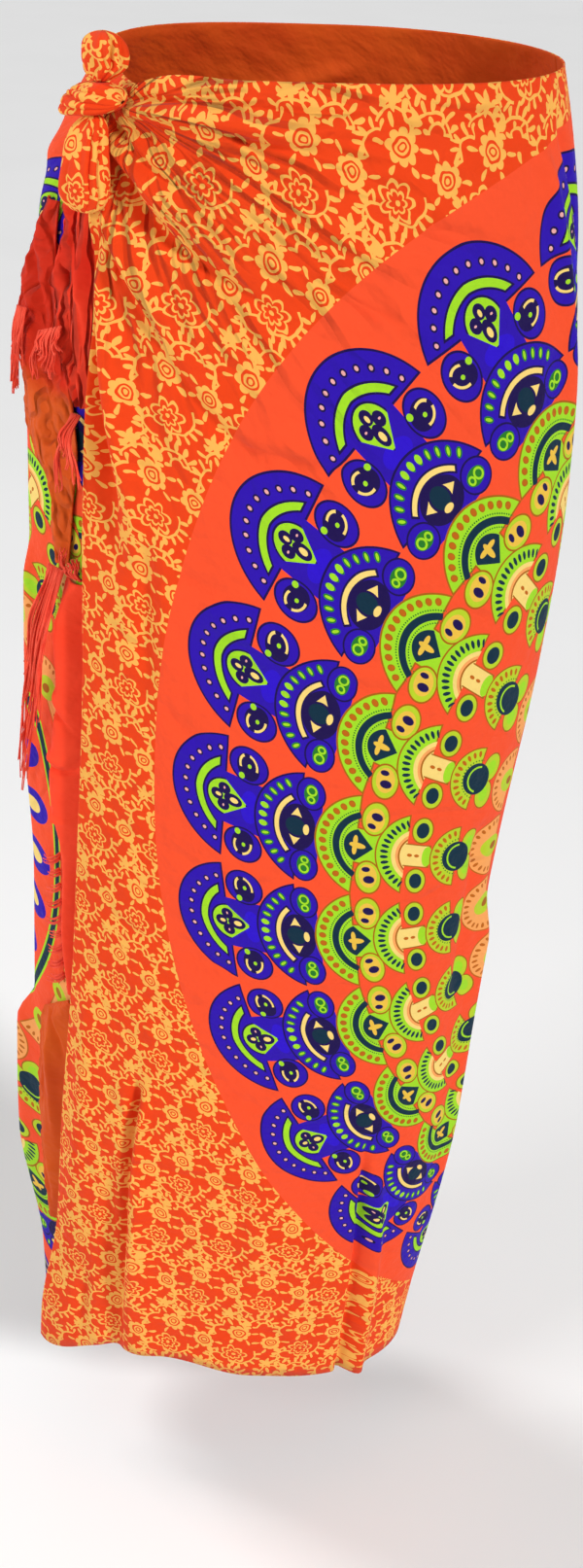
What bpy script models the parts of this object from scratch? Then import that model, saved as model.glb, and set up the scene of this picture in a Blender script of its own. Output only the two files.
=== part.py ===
"""A wound sarong tied at one side: one fringed cloth as thin walls, one solid for each stretch that shows.

Metres, +Z up. The origin is the middle of the waist, the front faces -Y, and +X is the side away from the
knot. A point of the cloth is given by its turn round the body in degrees (0 at the middle of the front,
growing towards +X), its drop below the waist, and how far out it stands from the hips' outline.
"""

from collections import namedtuple

import bmesh
import bpy
import numpy as np

LENGTH = 1.0             # from waist to hem, where the cloth hangs straight
WALL = 0.0018            # the cloth with its hems, as a wall
SEAM_TURN = 100.0        # where the front stretch hands over to the back one
SEAM_GAP = 0.0010
METRES_PER_DEGREE = 0.0026  # along the hips, for the width of a fold

# The tube's outline: how far it reaches on each side and from front to middle.
Outline = namedtuple("Outline", "drop knot_side far_side half_depth")
OUTLINE = (
    Outline(0.000, -0.136, 0.136, 0.1010),
    Outline(0.030, -0.154, 0.143, 0.1045),
    Outline(0.080, -0.173, 0.152, 0.1105),
    Outline(0.150, -0.185, 0.159, 0.1180),
    Outline(0.260, -0.190, 0.164, 0.1220),
    Outline(0.380, -0.192, 0.157, 0.1190),
    Outline(0.520, -0.197, 0.141, 0.1130),
    Outline(0.660, -0.202, 0.129, 0.1075),
    Outline(0.800, -0.207, 0.120, 0.1020),
    Outline(0.900, -0.206, 0.111, 0.0965),
    Outline(1.030, -0.205, 0.095, 0.0890),
)

# The upper edge dips to the knot, and the hem rises and falls with the pull of the cloth.
Edge = namedtuple("Edge", "turn drop")
WAIST = (
    Edge(-66, 0.018),
    Edge(-57, 0.014),
    Edge(-44, 0.003),
    Edge(-20, 0.000),
    Edge(60, 0.000),
    Edge(180, -0.003),
    Edge(270, 0.000),
    Edge(296, 0.010),
    Edge(320, 0.014),
)
HEM = (
    Edge(-80, 1.018),
    Edge(-60, 1.010),
    Edge(-36, 0.982),
    Edge(-20, 0.976),
    Edge(0, 0.983),
    Edge(25, 1.000),
    Edge(60, 1.010),
    Edge(95, 1.014),
    Edge(180, 1.004),
    Edge(255, 1.004),
    Edge(285, 0.985),
    Edge(320, 0.990),
)

# The front stretch ends at a fold under the knot, where the cloth turns under itself.
FoldEdge = namedtuple("FoldEdge", "drop turn")
FRONT_EDGE = (
    FoldEdge(0.010, -58.0),
    FoldEdge(0.080, -51.8),
    FoldEdge(0.130, -49.0),
    FoldEdge(0.280, -48.9),
    FoldEdge(0.450, -49.8),
    FoldEdge(0.620, -52.0),
    FoldEdge(0.720, -55.2),
    FoldEdge(0.820, -58.5),
    FoldEdge(0.900, -64.5),
    FoldEdge(1.020, -75.0),
)
FOLD_RADIUS = 0.0032
TURNED_UNDER = 0.020

# Under that edge the back stretch lies deeper, which makes the slot that holds the hanging ends.
BACK_END_TURN = 317.0
BACK_INSET = 0.0125
INSET_FROM, INSET_TO = 266.0, 292.0

# A fold starts at a, passes by b and fades out at c. A negative height is a trough.
Fold = namedtuple("Fold", "turn_a drop_a turn_b drop_b turn_c drop_c width_a width_c height")
FRONT_FOLDS = (
    Fold(-52, 0.024, -30, 0.012, 8, 0.022, 0.0035, 0.0090, 0.0034),
    Fold(-51, 0.031, -28, 0.034, -2, 0.050, 0.0030, 0.0090, -0.0031),
    Fold(-50, 0.036, -36, 0.052, -12, 0.077, 0.0035, 0.0110, 0.0048),
    Fold(-51, 0.042, -38, 0.074, -6, 0.122, 0.0035, 0.0120, -0.0039),
    Fold(-52, 0.046, -43, 0.098, -20, 0.170, 0.0040, 0.0130, 0.0048),
    Fold(-53, 0.050, -46, 0.130, -8, 0.215, 0.0040, 0.0120, -0.0034),
    Fold(-46, 0.125, -44, 0.200, -38, 0.310, 0.0045, 0.0100, -0.0040),
    Fold(-41, 0.110, -38, 0.190, -32, 0.330, 0.0060, 0.0140, 0.0042),
    Fold(-20, 0.300, -5, 0.330, 14, 0.350, 0.0120, 0.0160, 0.0028),
    Fold(-35, 0.745, -36, 0.870, -36, 1.010, 0.0070, 0.0110, -0.0048),
    Fold(-30, 0.700, -27, 0.850, -24, 1.010, 0.0080, 0.0150, 0.0042),
    Fold(42, 0.780, 44, 0.900, 46, 1.030, 0.0070, 0.0120, 0.0050),
    Fold(10, 0.640, 6, 0.800, 4, 1.010, 0.0150, 0.0260, 0.0045),
)
BACK_FOLDS = (
    Fold(265, 0.680, 264, 0.790, 266, 0.930, 0.0150, 0.0220, 0.0150),
    Fold(292, 0.040, 262, 0.060, 226, 0.100, 0.0060, 0.0130, 0.0030),
    Fold(288, 0.060, 264, 0.120, 236, 0.190, 0.0060, 0.0140, -0.0026),
    Fold(286, 0.080, 266, 0.180, 246, 0.310, 0.0060, 0.0150, 0.0034),
    Fold(236, 0.520, 232, 0.780, 230, 1.030, 0.0120, 0.0200, 0.0040),
    Fold(205, 0.600, 203, 0.800, 200, 1.030, 0.0120, 0.0200, -0.0034),
    Fold(172, 0.560, 173, 0.800, 175, 1.030, 0.0140, 0.0220, 0.0042),
    Fold(136, 0.640, 134, 0.820, 132, 1.030, 0.0120, 0.0190, -0.0030),
)
FOLD_STEPS = 14

# The lower front corner stands away from the body.
CORNER_OUT = 0.0090

FRONT_ROWS, FRONT_COLUMNS = 34, 25
BACK_ROWS, BACK_COLUMNS, SLOT_COLUMNS = 28, 20, 13

# The hanging ends lie in the slot: a row for each section, from one turn to the other.
Fall = namedtuple("Fall", "drop turn_from turn_to stand_out")
FRONT_END_PLEATS = (
    Fall(0.0330, -63.5, -57.0, 0.0020),
    Fall(0.0500, -68.0, -55.2, 0.0040),
    Fall(0.0800, -68.0, -53.0, 0.0070),
    Fall(0.1200, -66.0, -50.5, 0.0085),
    Fall(0.1500, -64.5, -50.3, 0.0080),
    Fall(0.1750, -58.5, -50.3, 0.0060),
    Fall(0.1950, -54.0, -50.3, 0.0040),
)
FRONT_END_ROLL = (
    Fall(0.3130, -59.0, -50.6, 0.0030),
    Fall(0.3300, -60.0, -50.6, 0.0085),
    Fall(0.4000, -61.0, -51.0, 0.0100),
    Fall(0.4900, -63.5, -51.6, 0.0100),
    Fall(0.5100, -60.5, -52.0, 0.0080),
    Fall(0.6000, -59.5, -53.2, 0.0060),
    Fall(0.6450, -59.0, -54.2, 0.0030),
)
BACK_END_FOLD = (
    Fall(0.0820, -82.0, -73.0, 0.0030),
    Fall(0.1100, -83.0, -70.5, 0.0050),
    Fall(0.1400, -86.0, -67.0, 0.0080),
    Fall(0.1700, -88.0, -62.0, 0.0105),
    Fall(0.1850, -87.0, -57.5, 0.0105),
    Fall(0.2050, -85.0, -55.5, 0.0090),
    Fall(0.2350, -80.0, -54.5, 0.0075),
    Fall(0.2520, -70.0, -56.0, 0.0060),
    Fall(0.2750, -68.0, -57.0, 0.0050),
    Fall(0.3030, -66.0, -58.5, 0.0040),
)
BACK_END_HEM = (
    Fall(0.6530, -59.0, -55.0, 0.0020),
    Fall(0.6750, -74.0, -56.0, 0.0050),
    Fall(0.7200, -79.0, -57.5, 0.0080),
    Fall(0.8000, -79.0, -60.2, 0.0085),
    Fall(0.8550, -78.0, -63.6, 0.0070),
    Fall(0.8850, -76.0, -67.5, 0.0040),
)

# The knot and its two free ends are bunched cloth: a row for each section along the bunch.
Bunch = namedtuple("Bunch", "turn drop out width depth")
KNOT = (
    Bunch(-67.0, 0.0200, 0.0120, 0.0130, 0.0140),
    Bunch(-61.5, 0.0190, 0.0130, 0.0170, 0.0190),
    Bunch(-55.0, 0.0170, 0.0124, 0.0160, 0.0190),
    Bunch(-48.5, 0.0170, 0.0078, 0.0120, 0.0140),
)
KNOT_EAR = (
    Bunch(-58.0, 0.0088, 0.0120, 0.0220, 0.0130),
    Bunch(-58.5, -0.0005, 0.0126, 0.0350, 0.0190),
    Bunch(-59.0, -0.0090, 0.0126, 0.0360, 0.0200),
    Bunch(-59.0, -0.0180, 0.0122, 0.0290, 0.0150),
)
KNOT_TAIL = (
    Bunch(-55.0, 0.0257, 0.0094, 0.0230, 0.0110),
    Bunch(-53.5, 0.0400, 0.0101, 0.0290, 0.0150),
    Bunch(-50.5, 0.0600, 0.0104, 0.0340, 0.0156),
    Bunch(-49.0, 0.0760, 0.0093, 0.0350, 0.0140),
)
BUNCH_ROUND = 16
BUNCH_RINGS = 10
GROOVE = 0.22  # the crease down the middle, as a share of the bunch's depth

# A fringe is a row of tassels on a narrow strip that runs from a to b. The tassels reach on from there,
# lift off the cloth in a bow, spread like a fan and wave from side to side.
Fringe = namedtuple(
    "Fringe",
    "name tassels turn_a drop_a out_a turn_b drop_b out_b reach_turn reach_drop lift spread wave",
)
FRINGES = (
    Fringe("fringe_front_curls", 6, -65, 0.154, 0.0021, -57, 0.147, -0.0019, 1.2, 0.030, 0.003, 3, 1.2),
    Fringe("fringe_front_tassel", 4, -53.9, 0.1989, -0.0055, -50.8, 0.1989, -0.0055, 2, 0.05, 0.01, 7, 0.8),
    Fringe("fringe_back_curls", 7, -85, 0.150, 0.0047, -72, 0.144, 0.0047, -1.0, 0.055, 0.0015, 3, 1.2),
    Fringe("fringe_back_tassels", 7, -66.2, 0.3067, -0.005, -58.8, 0.3067, -0.006, -15, 0.18, 0.013, 7, 1.4),
    Fringe("fringe_roll_top", 4, -58, 0.3092, -0.0072, -51.8, 0.3092, -0.0078, 0.4, -0.020, 0.004, 1, 0.6),
    Fringe("fringe_side", 9, -65.5, 0.526, -0.0106, -62, 0.640, -0.0109, -9, 0.012, 0.004, 0, 0),
)
STRIP = 0.0035           # how far the strip reaches back from the tassels' roots
TASSEL_TIP = 0.45        # the tip's width as a share of the root's
TASSEL_RINGS = 5
WAVES = 1.3              # side to side along a tassel
SHORTER = 0.16           # the step between the four lengths that take turns

PRINTED = (0.80, 0.12, 0.02)
PLAIN = (0.72, 0.05, 0.02)
REVERSE = (0.66, 0.14, 0.02)
TASSEL_RED = (0.85, 0.09, 0.04)

# Each hanging end: its sections, its pleats, its grid and how clear of the back stretch it lies.
HangingEnd = namedtuple("HangingEnd", "name rows pleats columns sections clear colour")
HANGING_ENDS = (
    HangingEnd("front_end_pleats", FRONT_END_PLEATS, 2, 13, 11, 0.0008, PLAIN),
    HangingEnd("front_end_roll", FRONT_END_ROLL, 1, 9, 15, 0.0003, PLAIN),
    HangingEnd("back_end_fold", BACK_END_FOLD, 1, 11, 15, 0.0016, REVERSE),
    HangingEnd("back_end_hem", BACK_END_HEM, 1, 9, 11, 0.0011, REVERSE),
)


def smooth(at, places, values):
    """Values between rows, by cubic curves whose slope at a row is that between its neighbours."""
    places = np.asarray(places, float)
    values = np.asarray(values, float)
    slopes = np.gradient(values, places)
    at = np.clip(at, places[0], places[-1])
    left = np.clip(np.searchsorted(places, at, side="right") - 1, 0, len(places) - 2)
    gap = places[left + 1] - places[left]
    t = (at - places[left]) / gap
    start = values[left] * (1 + 2 * t) * (1 - t) ** 2 + gap * slopes[left] * t * (1 - t) ** 2
    end = values[left + 1] * t**2 * (3 - 2 * t) + gap * slopes[left + 1] * t**2 * (t - 1)
    return start + end


def column(rows, name):
    return [getattr(row, name) for row in rows]


def read(rows, name, at, key="drop"):
    return smooth(at, column(rows, key), column(rows, name))


def ease(t):
    """0 to 1 with level ends."""
    t = np.clip(t, 0, 1)
    return t * t * (3 - 2 * t)


def place(turn, drop, out):
    """The point at a turn, a drop and a distance out from the outline."""
    knot_side = read(OUTLINE, "knot_side", drop)
    far_side = read(OUTLINE, "far_side", drop)
    half_depth = read(OUTLINE, "half_depth", drop)
    angle = np.radians(turn)
    x = (knot_side + far_side) / 2 + ((far_side - knot_side) / 2 + out) * np.sin(angle)
    y = -(half_depth + out) * np.cos(angle)
    return np.stack(np.broadcast_arrays(x, y, -np.asarray(drop, float)), axis=-1)


def fold_relief(turn, drop, folds):
    """How far the folds push each point in or out: a soft ridge along each fold's bent line."""
    relief = np.zeros(np.broadcast(turn, drop).shape)
    t = np.linspace(0, 1, FOLD_STEPS)
    for fold in folds:
        line_turn = fold.turn_a * (1 - t) ** 2 + 2 * fold.turn_b * t * (1 - t) + fold.turn_c * t**2
        line_drop = fold.drop_a * (1 - t) ** 2 + 2 * fold.drop_b * t * (1 - t) + fold.drop_c * t**2
        across = (np.asarray(turn)[..., None] - line_turn) * METRES_PER_DEGREE
        down = np.asarray(drop)[..., None] - line_drop
        away = np.hypot(across, down)
        nearest = away.argmin(axis=-1)
        share = t[nearest]
        width = fold.width_a + (fold.width_c - fold.width_a) * share
        fade = ease(share / 0.15) * ease((1.05 - share) / 0.45)
        fade = np.where(fold.drop_c > 1, ease(share / 0.4), fade)
        relief += fold.height * fade * np.exp(-((away.min(axis=-1) / width) ** 2))
    return relief


def back_inset(turn):
    """The back stretch sinks behind the hanging ends and under the front stretch."""
    return -BACK_INSET * ease((np.asarray(turn) % 360 - INSET_FROM) / (INSET_TO - INSET_FROM))


def spaced(count, first_share):
    """Numbers from 0 to 1 that start close together and end far apart."""
    t = np.linspace(0, 1, count)
    return first_share * t + (1 - first_share) * t * t


def front_points():
    """The front stretch, row by row from the turned-under cloth round the fold to the far seam."""
    share = spaced(FRONT_ROWS, 0.30)[:, None]
    edge = read(FRONT_EDGE, "turn", LENGTH * share)
    seam = SEAM_TURN - SEAM_GAP / METRES_PER_DEGREE / 2
    radius_turn = FOLD_RADIUS / METRES_PER_DEGREE
    under_turn = TURNED_UNDER / METRES_PER_DEGREE
    fold_middle = edge + radius_turn
    under = fold_middle + under_turn * np.array([1.0, 0.5])
    under_out = np.full_like(under, -2 * FOLD_RADIUS)
    bend = np.radians([-90.0, -45.0, 0.0, 45.0])
    round_turn = fold_middle - radius_turn * np.cos(bend)
    round_out = np.broadcast_to(FOLD_RADIUS * (np.sin(bend) - 1), round_turn.shape)
    open_turn = fold_middle + (seam - fold_middle) * spaced(FRONT_COLUMNS, 0.45)
    turn = np.concatenate([under, round_turn, open_turn], axis=1)
    out = np.concatenate([under_out, round_out, 0 * open_turn], axis=1)
    top = read(WAIST, "drop", turn, "turn")
    hem = read(HEM, "drop", turn, "turn")
    drop = top + (hem - top) * share
    corner = CORNER_OUT * ease((-44 - turn) / 24) * ease((drop - 0.86) / 0.12)
    return place(turn, drop, out + corner + fold_relief(turn, drop, FRONT_FOLDS))


def back_points():
    """The back stretch, from the far seam round to where it lies under the front one."""
    seam = SEAM_TURN + SEAM_GAP / METRES_PER_DEGREE / 2
    open_turn = np.linspace(seam, INSET_FROM, BACK_COLUMNS)[:-1]
    slot_turn = np.linspace(INSET_FROM, BACK_END_TURN, SLOT_COLUMNS)
    turn = np.concatenate([open_turn, slot_turn])[None, :]
    top = read(WAIST, "drop", turn, "turn")
    hem = read(HEM, "drop", turn, "turn")
    drop = top + (hem - top) * spaced(BACK_ROWS, 0.45)[:, None]
    turn = turn + 0 * drop
    return place(turn, drop, back_inset(turn) + fold_relief(turn, drop, BACK_FOLDS))


def hanging_points(end):
    """A hanging end: a strip that lies on the back stretch and stands out from it in rounded pleats."""
    rows = end.rows
    drop = np.linspace(rows[0].drop, rows[-1].drop, end.sections)[:, None]
    across = np.linspace(0, 1, end.columns)[None, :]
    turn_from = read(rows, "turn_from", drop)
    turn = turn_from + (read(rows, "turn_to", drop) - turn_from) * across
    rise = np.sin(np.pi * end.pleats * across) ** 2
    base = back_inset(turn) + fold_relief(turn + 360, drop, BACK_FOLDS) + WALL + end.clear
    return place(turn, drop + 0 * turn, base + read(rows, "stand_out", drop) * rise)


def bunch_points(rows, lying):
    """Rings along a bunch of cloth, each a rounded box with a crease in its outer side."""
    count = np.linspace(0, len(rows) - 1, BUNCH_RINGS)
    spine = np.array(rows, float)
    steps = np.arange(len(rows))
    turn, drop, out, width, depth = (smooth(count, steps, spine[:, i])[:, None] for i in range(5))
    t = np.linspace(-1, 1, BUNCH_RINGS)[:, None]
    closing = np.sqrt(np.clip(1 - np.abs(t) ** 5, 0.08, 1))
    angle = np.linspace(0, 2 * np.pi, BUNCH_ROUND, endpoint=False)[None, :]
    side = np.sign(np.cos(angle)) * np.abs(np.cos(angle)) ** 0.75
    outward = np.sign(np.sin(angle)) * np.abs(np.sin(angle)) ** 0.75
    crease = 1 - GROOVE * np.exp(-((side - 0.1) / 0.28) ** 2) * (outward > 0)
    across = side * width / 2 * closing
    away = out + outward * depth / 2 * closing * crease
    if lying:
        return place(turn + 0 * across, drop - across, away)
    return place(turn + across / METRES_PER_DEGREE, drop + 0 * across, away)


def new_object(name, points, faces, colour, collection):
    """An object from points and faces, its faces all turned outwards."""
    mesh = bpy.data.meshes.new(name)
    mesh.from_pydata(points.reshape(-1, 3).tolist(), [], [list(map(int, face)) for face in faces])
    mesh.update()
    material = bpy.data.materials.new(name + "_cloth")
    material.use_nodes = True
    shader = material.node_tree.nodes["Principled BSDF"]
    shader.inputs["Base Color"].default_value = (*colour, 1)
    shader.inputs["Roughness"].default_value = 0.85
    shader.inputs["Metallic"].default_value = 0
    mesh.materials.append(material)
    mesh.shade_smooth()
    made = bpy.data.objects.new(name, mesh)
    collection.objects.link(made)
    return made


def turn_outwards(made):
    """For a closed mesh only: every face looks away from the inside."""
    shape = bmesh.new()
    shape.from_mesh(made.data)
    bmesh.ops.recalc_face_normals(shape, faces=shape.faces)
    shape.to_mesh(made.data)
    shape.free()


def add_wall(name, points, colour, collection):
    """A sheet of cloth: a grid of points whose rows run down and whose columns run towards +X, thickened
    inwards."""
    rows, columns = points.shape[:2]
    index = np.arange(rows * columns).reshape(rows, columns)
    faces = np.stack([index[:-1, :-1], index[1:, :-1], index[1:, 1:], index[:-1, 1:]], axis=-1)
    made = new_object(name, points, faces.reshape(-1, 4), colour, collection)
    wall = made.modifiers.new("Wall", "SOLIDIFY")
    wall.thickness = WALL
    wall.offset = -1
    return made


def add_bunch(name, rings, colour, collection):
    """A closed solid through rings, with a flat cap on each end."""
    count, round_count = rings.shape[:2]
    index = np.arange(count * round_count).reshape(count, round_count)
    after = np.roll(index, -1, axis=1)
    sides = np.stack([index[:-1], index[1:], after[1:], after[:-1]], axis=-1).reshape(-1, 4)
    faces = [*sides, index[0], index[-1][::-1]]
    made = new_object(name, rings, faces, colour, collection)
    turn_outwards(made)
    return made


def tassel_rings(fringe, k, turn, drop, out):
    """Four points for each ring of tassel k: it grows from the stretch of the strip between two stations,
    leans and waves, falls, bows out from the cloth and gets slimmer."""
    s = np.linspace(1 / TASSEL_RINGS, 1, TASSEL_RINGS)[:, None]
    lean = fringe.spread * (k / (fringe.tassels - 1) - 0.5)
    length = 1 - SHORTER * ((3 * k) % 4)
    slim = 1 + (TASSEL_TIP - 1) * s
    wave = fringe.wave * np.sin(2 * np.pi * WAVES * s + k)
    ends = np.array([[0, 0, 1, 1]]) + 2 * k + 1
    inner = np.array([[1, -1, -1, 1]])
    own_turn = turn[ends].mean() + (turn[ends] - turn[ends].mean()) * slim
    own_turn = own_turn + (fringe.reach_turn + lean) * length * s**2 + wave
    own_drop = drop[ends].mean() + (drop[ends] - drop[ends].mean()) * slim
    own_drop = own_drop + fringe.reach_drop * length * s
    bow = fringe.lift * np.sin(np.pi * np.minimum(0.9 * s, 0.6))
    return place(own_turn, own_drop, out[ends] + bow + WALL / 2 * slim * inner)


def add_fringe(fringe, colour, collection):
    """A strip with a tassel growing from every second stretch of its lower rim."""
    stations = 2 * fringe.tassels + 2
    t = np.linspace(0, 1, stations)
    turn = fringe.turn_a + (fringe.turn_b - fringe.turn_a) * t
    drop = fringe.drop_a + (fringe.drop_b - fringe.drop_a) * t
    out = fringe.out_a + (fringe.out_b - fringe.out_a) * t
    sideways = fringe.reach_turn * METRES_PER_DEGREE
    reach = np.hypot(sideways, fringe.reach_drop)
    up_turn = turn - fringe.reach_turn / reach * STRIP
    up_drop = drop - fringe.reach_drop / reach * STRIP
    corners = [(turn, drop, 1), (turn, drop, -1), (up_turn, up_drop, -1), (up_turn, up_drop, 1)]
    strip = np.stack([place(a, b, out + side * WALL / 2) for a, b, side in corners], axis=1)
    index = np.arange(stations * 4).reshape(stations, 4)
    following = np.roll(index, -1, axis=1)
    walls = np.stack([index[:-1], following[:-1], following[1:], index[1:]], axis=-1)
    faces = [index[0], index[-1][::-1], *walls[:, 1:].reshape(-1, 4), *walls[::2, 0]]
    points = [strip.reshape(-1, 3)]
    for k in range(fringe.tassels):
        points.append(tassel_rings(fringe, k, turn, drop, out).reshape(-1, 3))
        left, right = index[2 * k + 1], index[2 * k + 2]
        root = np.array([[left[0], left[1], right[1], right[0]]])
        first = stations * 4 + k * TASSEL_RINGS * 4
        rings = np.vstack([root, first + np.arange(TASSEL_RINGS * 4).reshape(-1, 4)])
        round_rings = np.roll(rings, -1, axis=1)
        sides = np.stack([rings[:-1], round_rings[:-1], round_rings[1:], rings[1:]], axis=-1)
        faces += [*sides.reshape(-1, 4), rings[-1]]
    made = new_object(fringe.name, np.concatenate(points), faces, colour, collection)
    turn_outwards(made)
    return made


def main():
    for old in list(bpy.data.objects):
        bpy.data.objects.remove(old, do_unlink=True)
    cloth = bpy.data.collections.new("sarong")
    bpy.context.scene.collection.children.link(cloth)

    add_wall("wrap_front", front_points(), PRINTED, cloth)
    add_wall("wrap_back", back_points(), PRINTED, cloth)
    for end in HANGING_ENDS:
        add_wall(end.name, hanging_points(end), end.colour, cloth)
    add_bunch("knot", bunch_points(KNOT, True), PRINTED, cloth)
    add_bunch("knot_ear", bunch_points(KNOT_EAR, False), PRINTED, cloth)
    add_bunch("knot_tail", bunch_points(KNOT_TAIL, False), PRINTED, cloth)
    for fringe in FRINGES:
        add_fringe(fringe, TASSEL_RED, cloth)


main()
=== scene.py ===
# %% [markdown]
# # A wrapped sarong with a side knot
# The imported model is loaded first, as the fixed frame that every piece is fitted to.

# %% Load the frame
from collections import namedtuple

import bpy
import numpy as np
from mathutils import Matrix


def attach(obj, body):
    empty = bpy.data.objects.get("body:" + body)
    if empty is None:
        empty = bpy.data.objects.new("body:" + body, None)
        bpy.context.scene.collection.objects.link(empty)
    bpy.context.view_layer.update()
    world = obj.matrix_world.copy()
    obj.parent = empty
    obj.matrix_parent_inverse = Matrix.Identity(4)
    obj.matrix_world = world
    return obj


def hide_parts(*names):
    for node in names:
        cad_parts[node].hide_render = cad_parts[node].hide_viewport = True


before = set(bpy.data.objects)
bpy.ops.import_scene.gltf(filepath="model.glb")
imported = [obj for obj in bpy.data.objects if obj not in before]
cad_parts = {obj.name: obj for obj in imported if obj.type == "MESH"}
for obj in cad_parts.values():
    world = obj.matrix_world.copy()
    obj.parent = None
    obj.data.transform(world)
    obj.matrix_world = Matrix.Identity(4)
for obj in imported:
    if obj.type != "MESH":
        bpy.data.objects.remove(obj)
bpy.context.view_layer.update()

# %% [markdown]
# ## Where a point of the cloth lies
# A wrapped cloth is one flat sheet wound round the hips. Every point is given by its turn round the body,
# its drop below the waist and how far out it stands. A table of the outline at eleven heights carries the
# whole shape, which is easier to adjust than a sculpted mesh, and smooth curves run between its rows.

# %% The outline of the hips and legs
Outline = namedtuple("Outline", "drop knot_side far_side half_depth")
OUTLINE = (
    Outline(0.000, -0.136, 0.136, 0.1010),
    Outline(0.030, -0.154, 0.143, 0.1045),
    Outline(0.080, -0.173, 0.152, 0.1105),
    Outline(0.150, -0.185, 0.159, 0.1180),
    Outline(0.260, -0.190, 0.164, 0.1220),
    Outline(0.380, -0.192, 0.157, 0.1190),
    Outline(0.520, -0.197, 0.141, 0.1130),
    Outline(0.660, -0.202, 0.129, 0.1075),
    Outline(0.800, -0.207, 0.120, 0.1020),
    Outline(0.900, -0.206, 0.111, 0.0965),
    Outline(1.030, -0.205, 0.095, 0.0890),
)
Edge = namedtuple("Edge", "turn drop")
WAIST = (
    Edge(-66, 0.018), Edge(-57, 0.014), Edge(-44, 0.003), Edge(-20, 0.000), Edge(60, 0.000),
    Edge(180, -0.003), Edge(270, 0.000), Edge(296, 0.010), Edge(320, 0.014),
)
HEM = (
    Edge(-80, 1.018), Edge(-60, 1.010), Edge(-36, 0.982), Edge(-20, 0.976), Edge(0, 0.983), Edge(25, 1.000),
    Edge(60, 1.010), Edge(95, 1.014), Edge(180, 1.004), Edge(255, 1.004), Edge(285, 0.985), Edge(320, 0.990),
)
LENGTH = 1.0                # waist to hem
METRES_PER_DEGREE = 0.0026  # along the hips
ARC_STEPS = 48              # parts in which an arc is measured


def smooth(at, places, values):
    """Values between rows by cubic Hermite curves: the slope at a row is that between its neighbours."""
    places, values = np.asarray(places, float), np.asarray(values, float)
    slopes = np.gradient(values, places)
    at = np.clip(at, places[0], places[-1])
    left = np.clip(np.searchsorted(places, at, side="right") - 1, 0, len(places) - 2)
    gap = places[left + 1] - places[left]
    t = (at - places[left]) / gap
    start = values[left] * (1 + 2 * t) * (1 - t) ** 2 + gap * slopes[left] * t * (1 - t) ** 2
    return start + values[left + 1] * t**2 * (3 - 2 * t) + gap * slopes[left + 1] * t**2 * (t - 1)


def read(rows, name, at, key="drop"):
    """One column of a table at the places asked for."""
    return smooth(at, [getattr(r, key) for r in rows], [getattr(r, name) for r in rows])


def ease(t):
    """0 to 1 with level ends: three t squared minus two t cubed."""
    t = np.clip(t, 0, 1)
    return t * t * (3 - 2 * t)


def place(turn, drop, out):
    """The outline is an ellipse at each height: x = middle + (half width + out) sin(turn), and
    y = -(half depth + out) cos(turn), z = -drop."""
    knot_side = read(OUTLINE, "knot_side", drop)
    far_side = read(OUTLINE, "far_side", drop)
    angle = np.radians(turn)
    x = (knot_side + far_side) / 2 + ((far_side - knot_side) / 2 + out) * np.sin(angle)
    y = -(read(OUTLINE, "half_depth", drop) + out) * np.cos(angle)
    return np.stack(np.broadcast_arrays(x, y, -np.asarray(drop, float)), axis=-1)


def along(turn, drop):
    """Metres of cloth from the middle of the front to a turn, at its own height: the ellipse's length
    element, averaged over ARC_STEPS steps, times the turn."""
    half_width = (read(OUTLINE, "far_side", drop) - read(OUTLINE, "knot_side", drop)) / 2
    half_depth = read(OUTLINE, "half_depth", drop)
    angle = np.radians(turn)
    total = np.zeros(np.broadcast(turn, drop).shape)
    for step in (np.arange(ARC_STEPS) + 0.5) / ARC_STEPS:
        total += np.hypot(half_width * np.cos(angle * step), half_depth * np.sin(angle * step))
    return angle * total / ARC_STEPS


print("the waist is", round(float(along(180, 0.0) - along(-180, 0.0)), 3), "m round")


# %% [markdown]
# ## Folds
# Cloth that is pulled into a knot folds along lines that fan out from it, and hangs in soft upright waves
# below. Simulated cloth would fold where it likes, so each fold here is placed one by one along a bent line
# and pushes the sheet out or in. Long soft ones give the shape, and short thin ones the creases.

# %% Fold helpers
Fold = namedtuple("Fold", "turn_a drop_a turn_b drop_b turn_c drop_c width_a width_c height")
FOLD_PIECES = 10            # straight pieces in a fold's bent line


def fold_rows(*rows):
    """Folds from rows of turns in degrees, drops in millimetres, then two widths and a height in tenths of a
    millimetre."""
    return [Fold(*row) for row in np.array(rows) / (1, 1000, 1, 1000, 1, 1000, 10000, 10000, 10000)]


def bent(t, a, b, c):
    """A quadratic curve from a to c that is pulled towards b."""
    return a * (1 - t) ** 2 + 2 * b * t * (1 - t) + c * t**2


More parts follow.
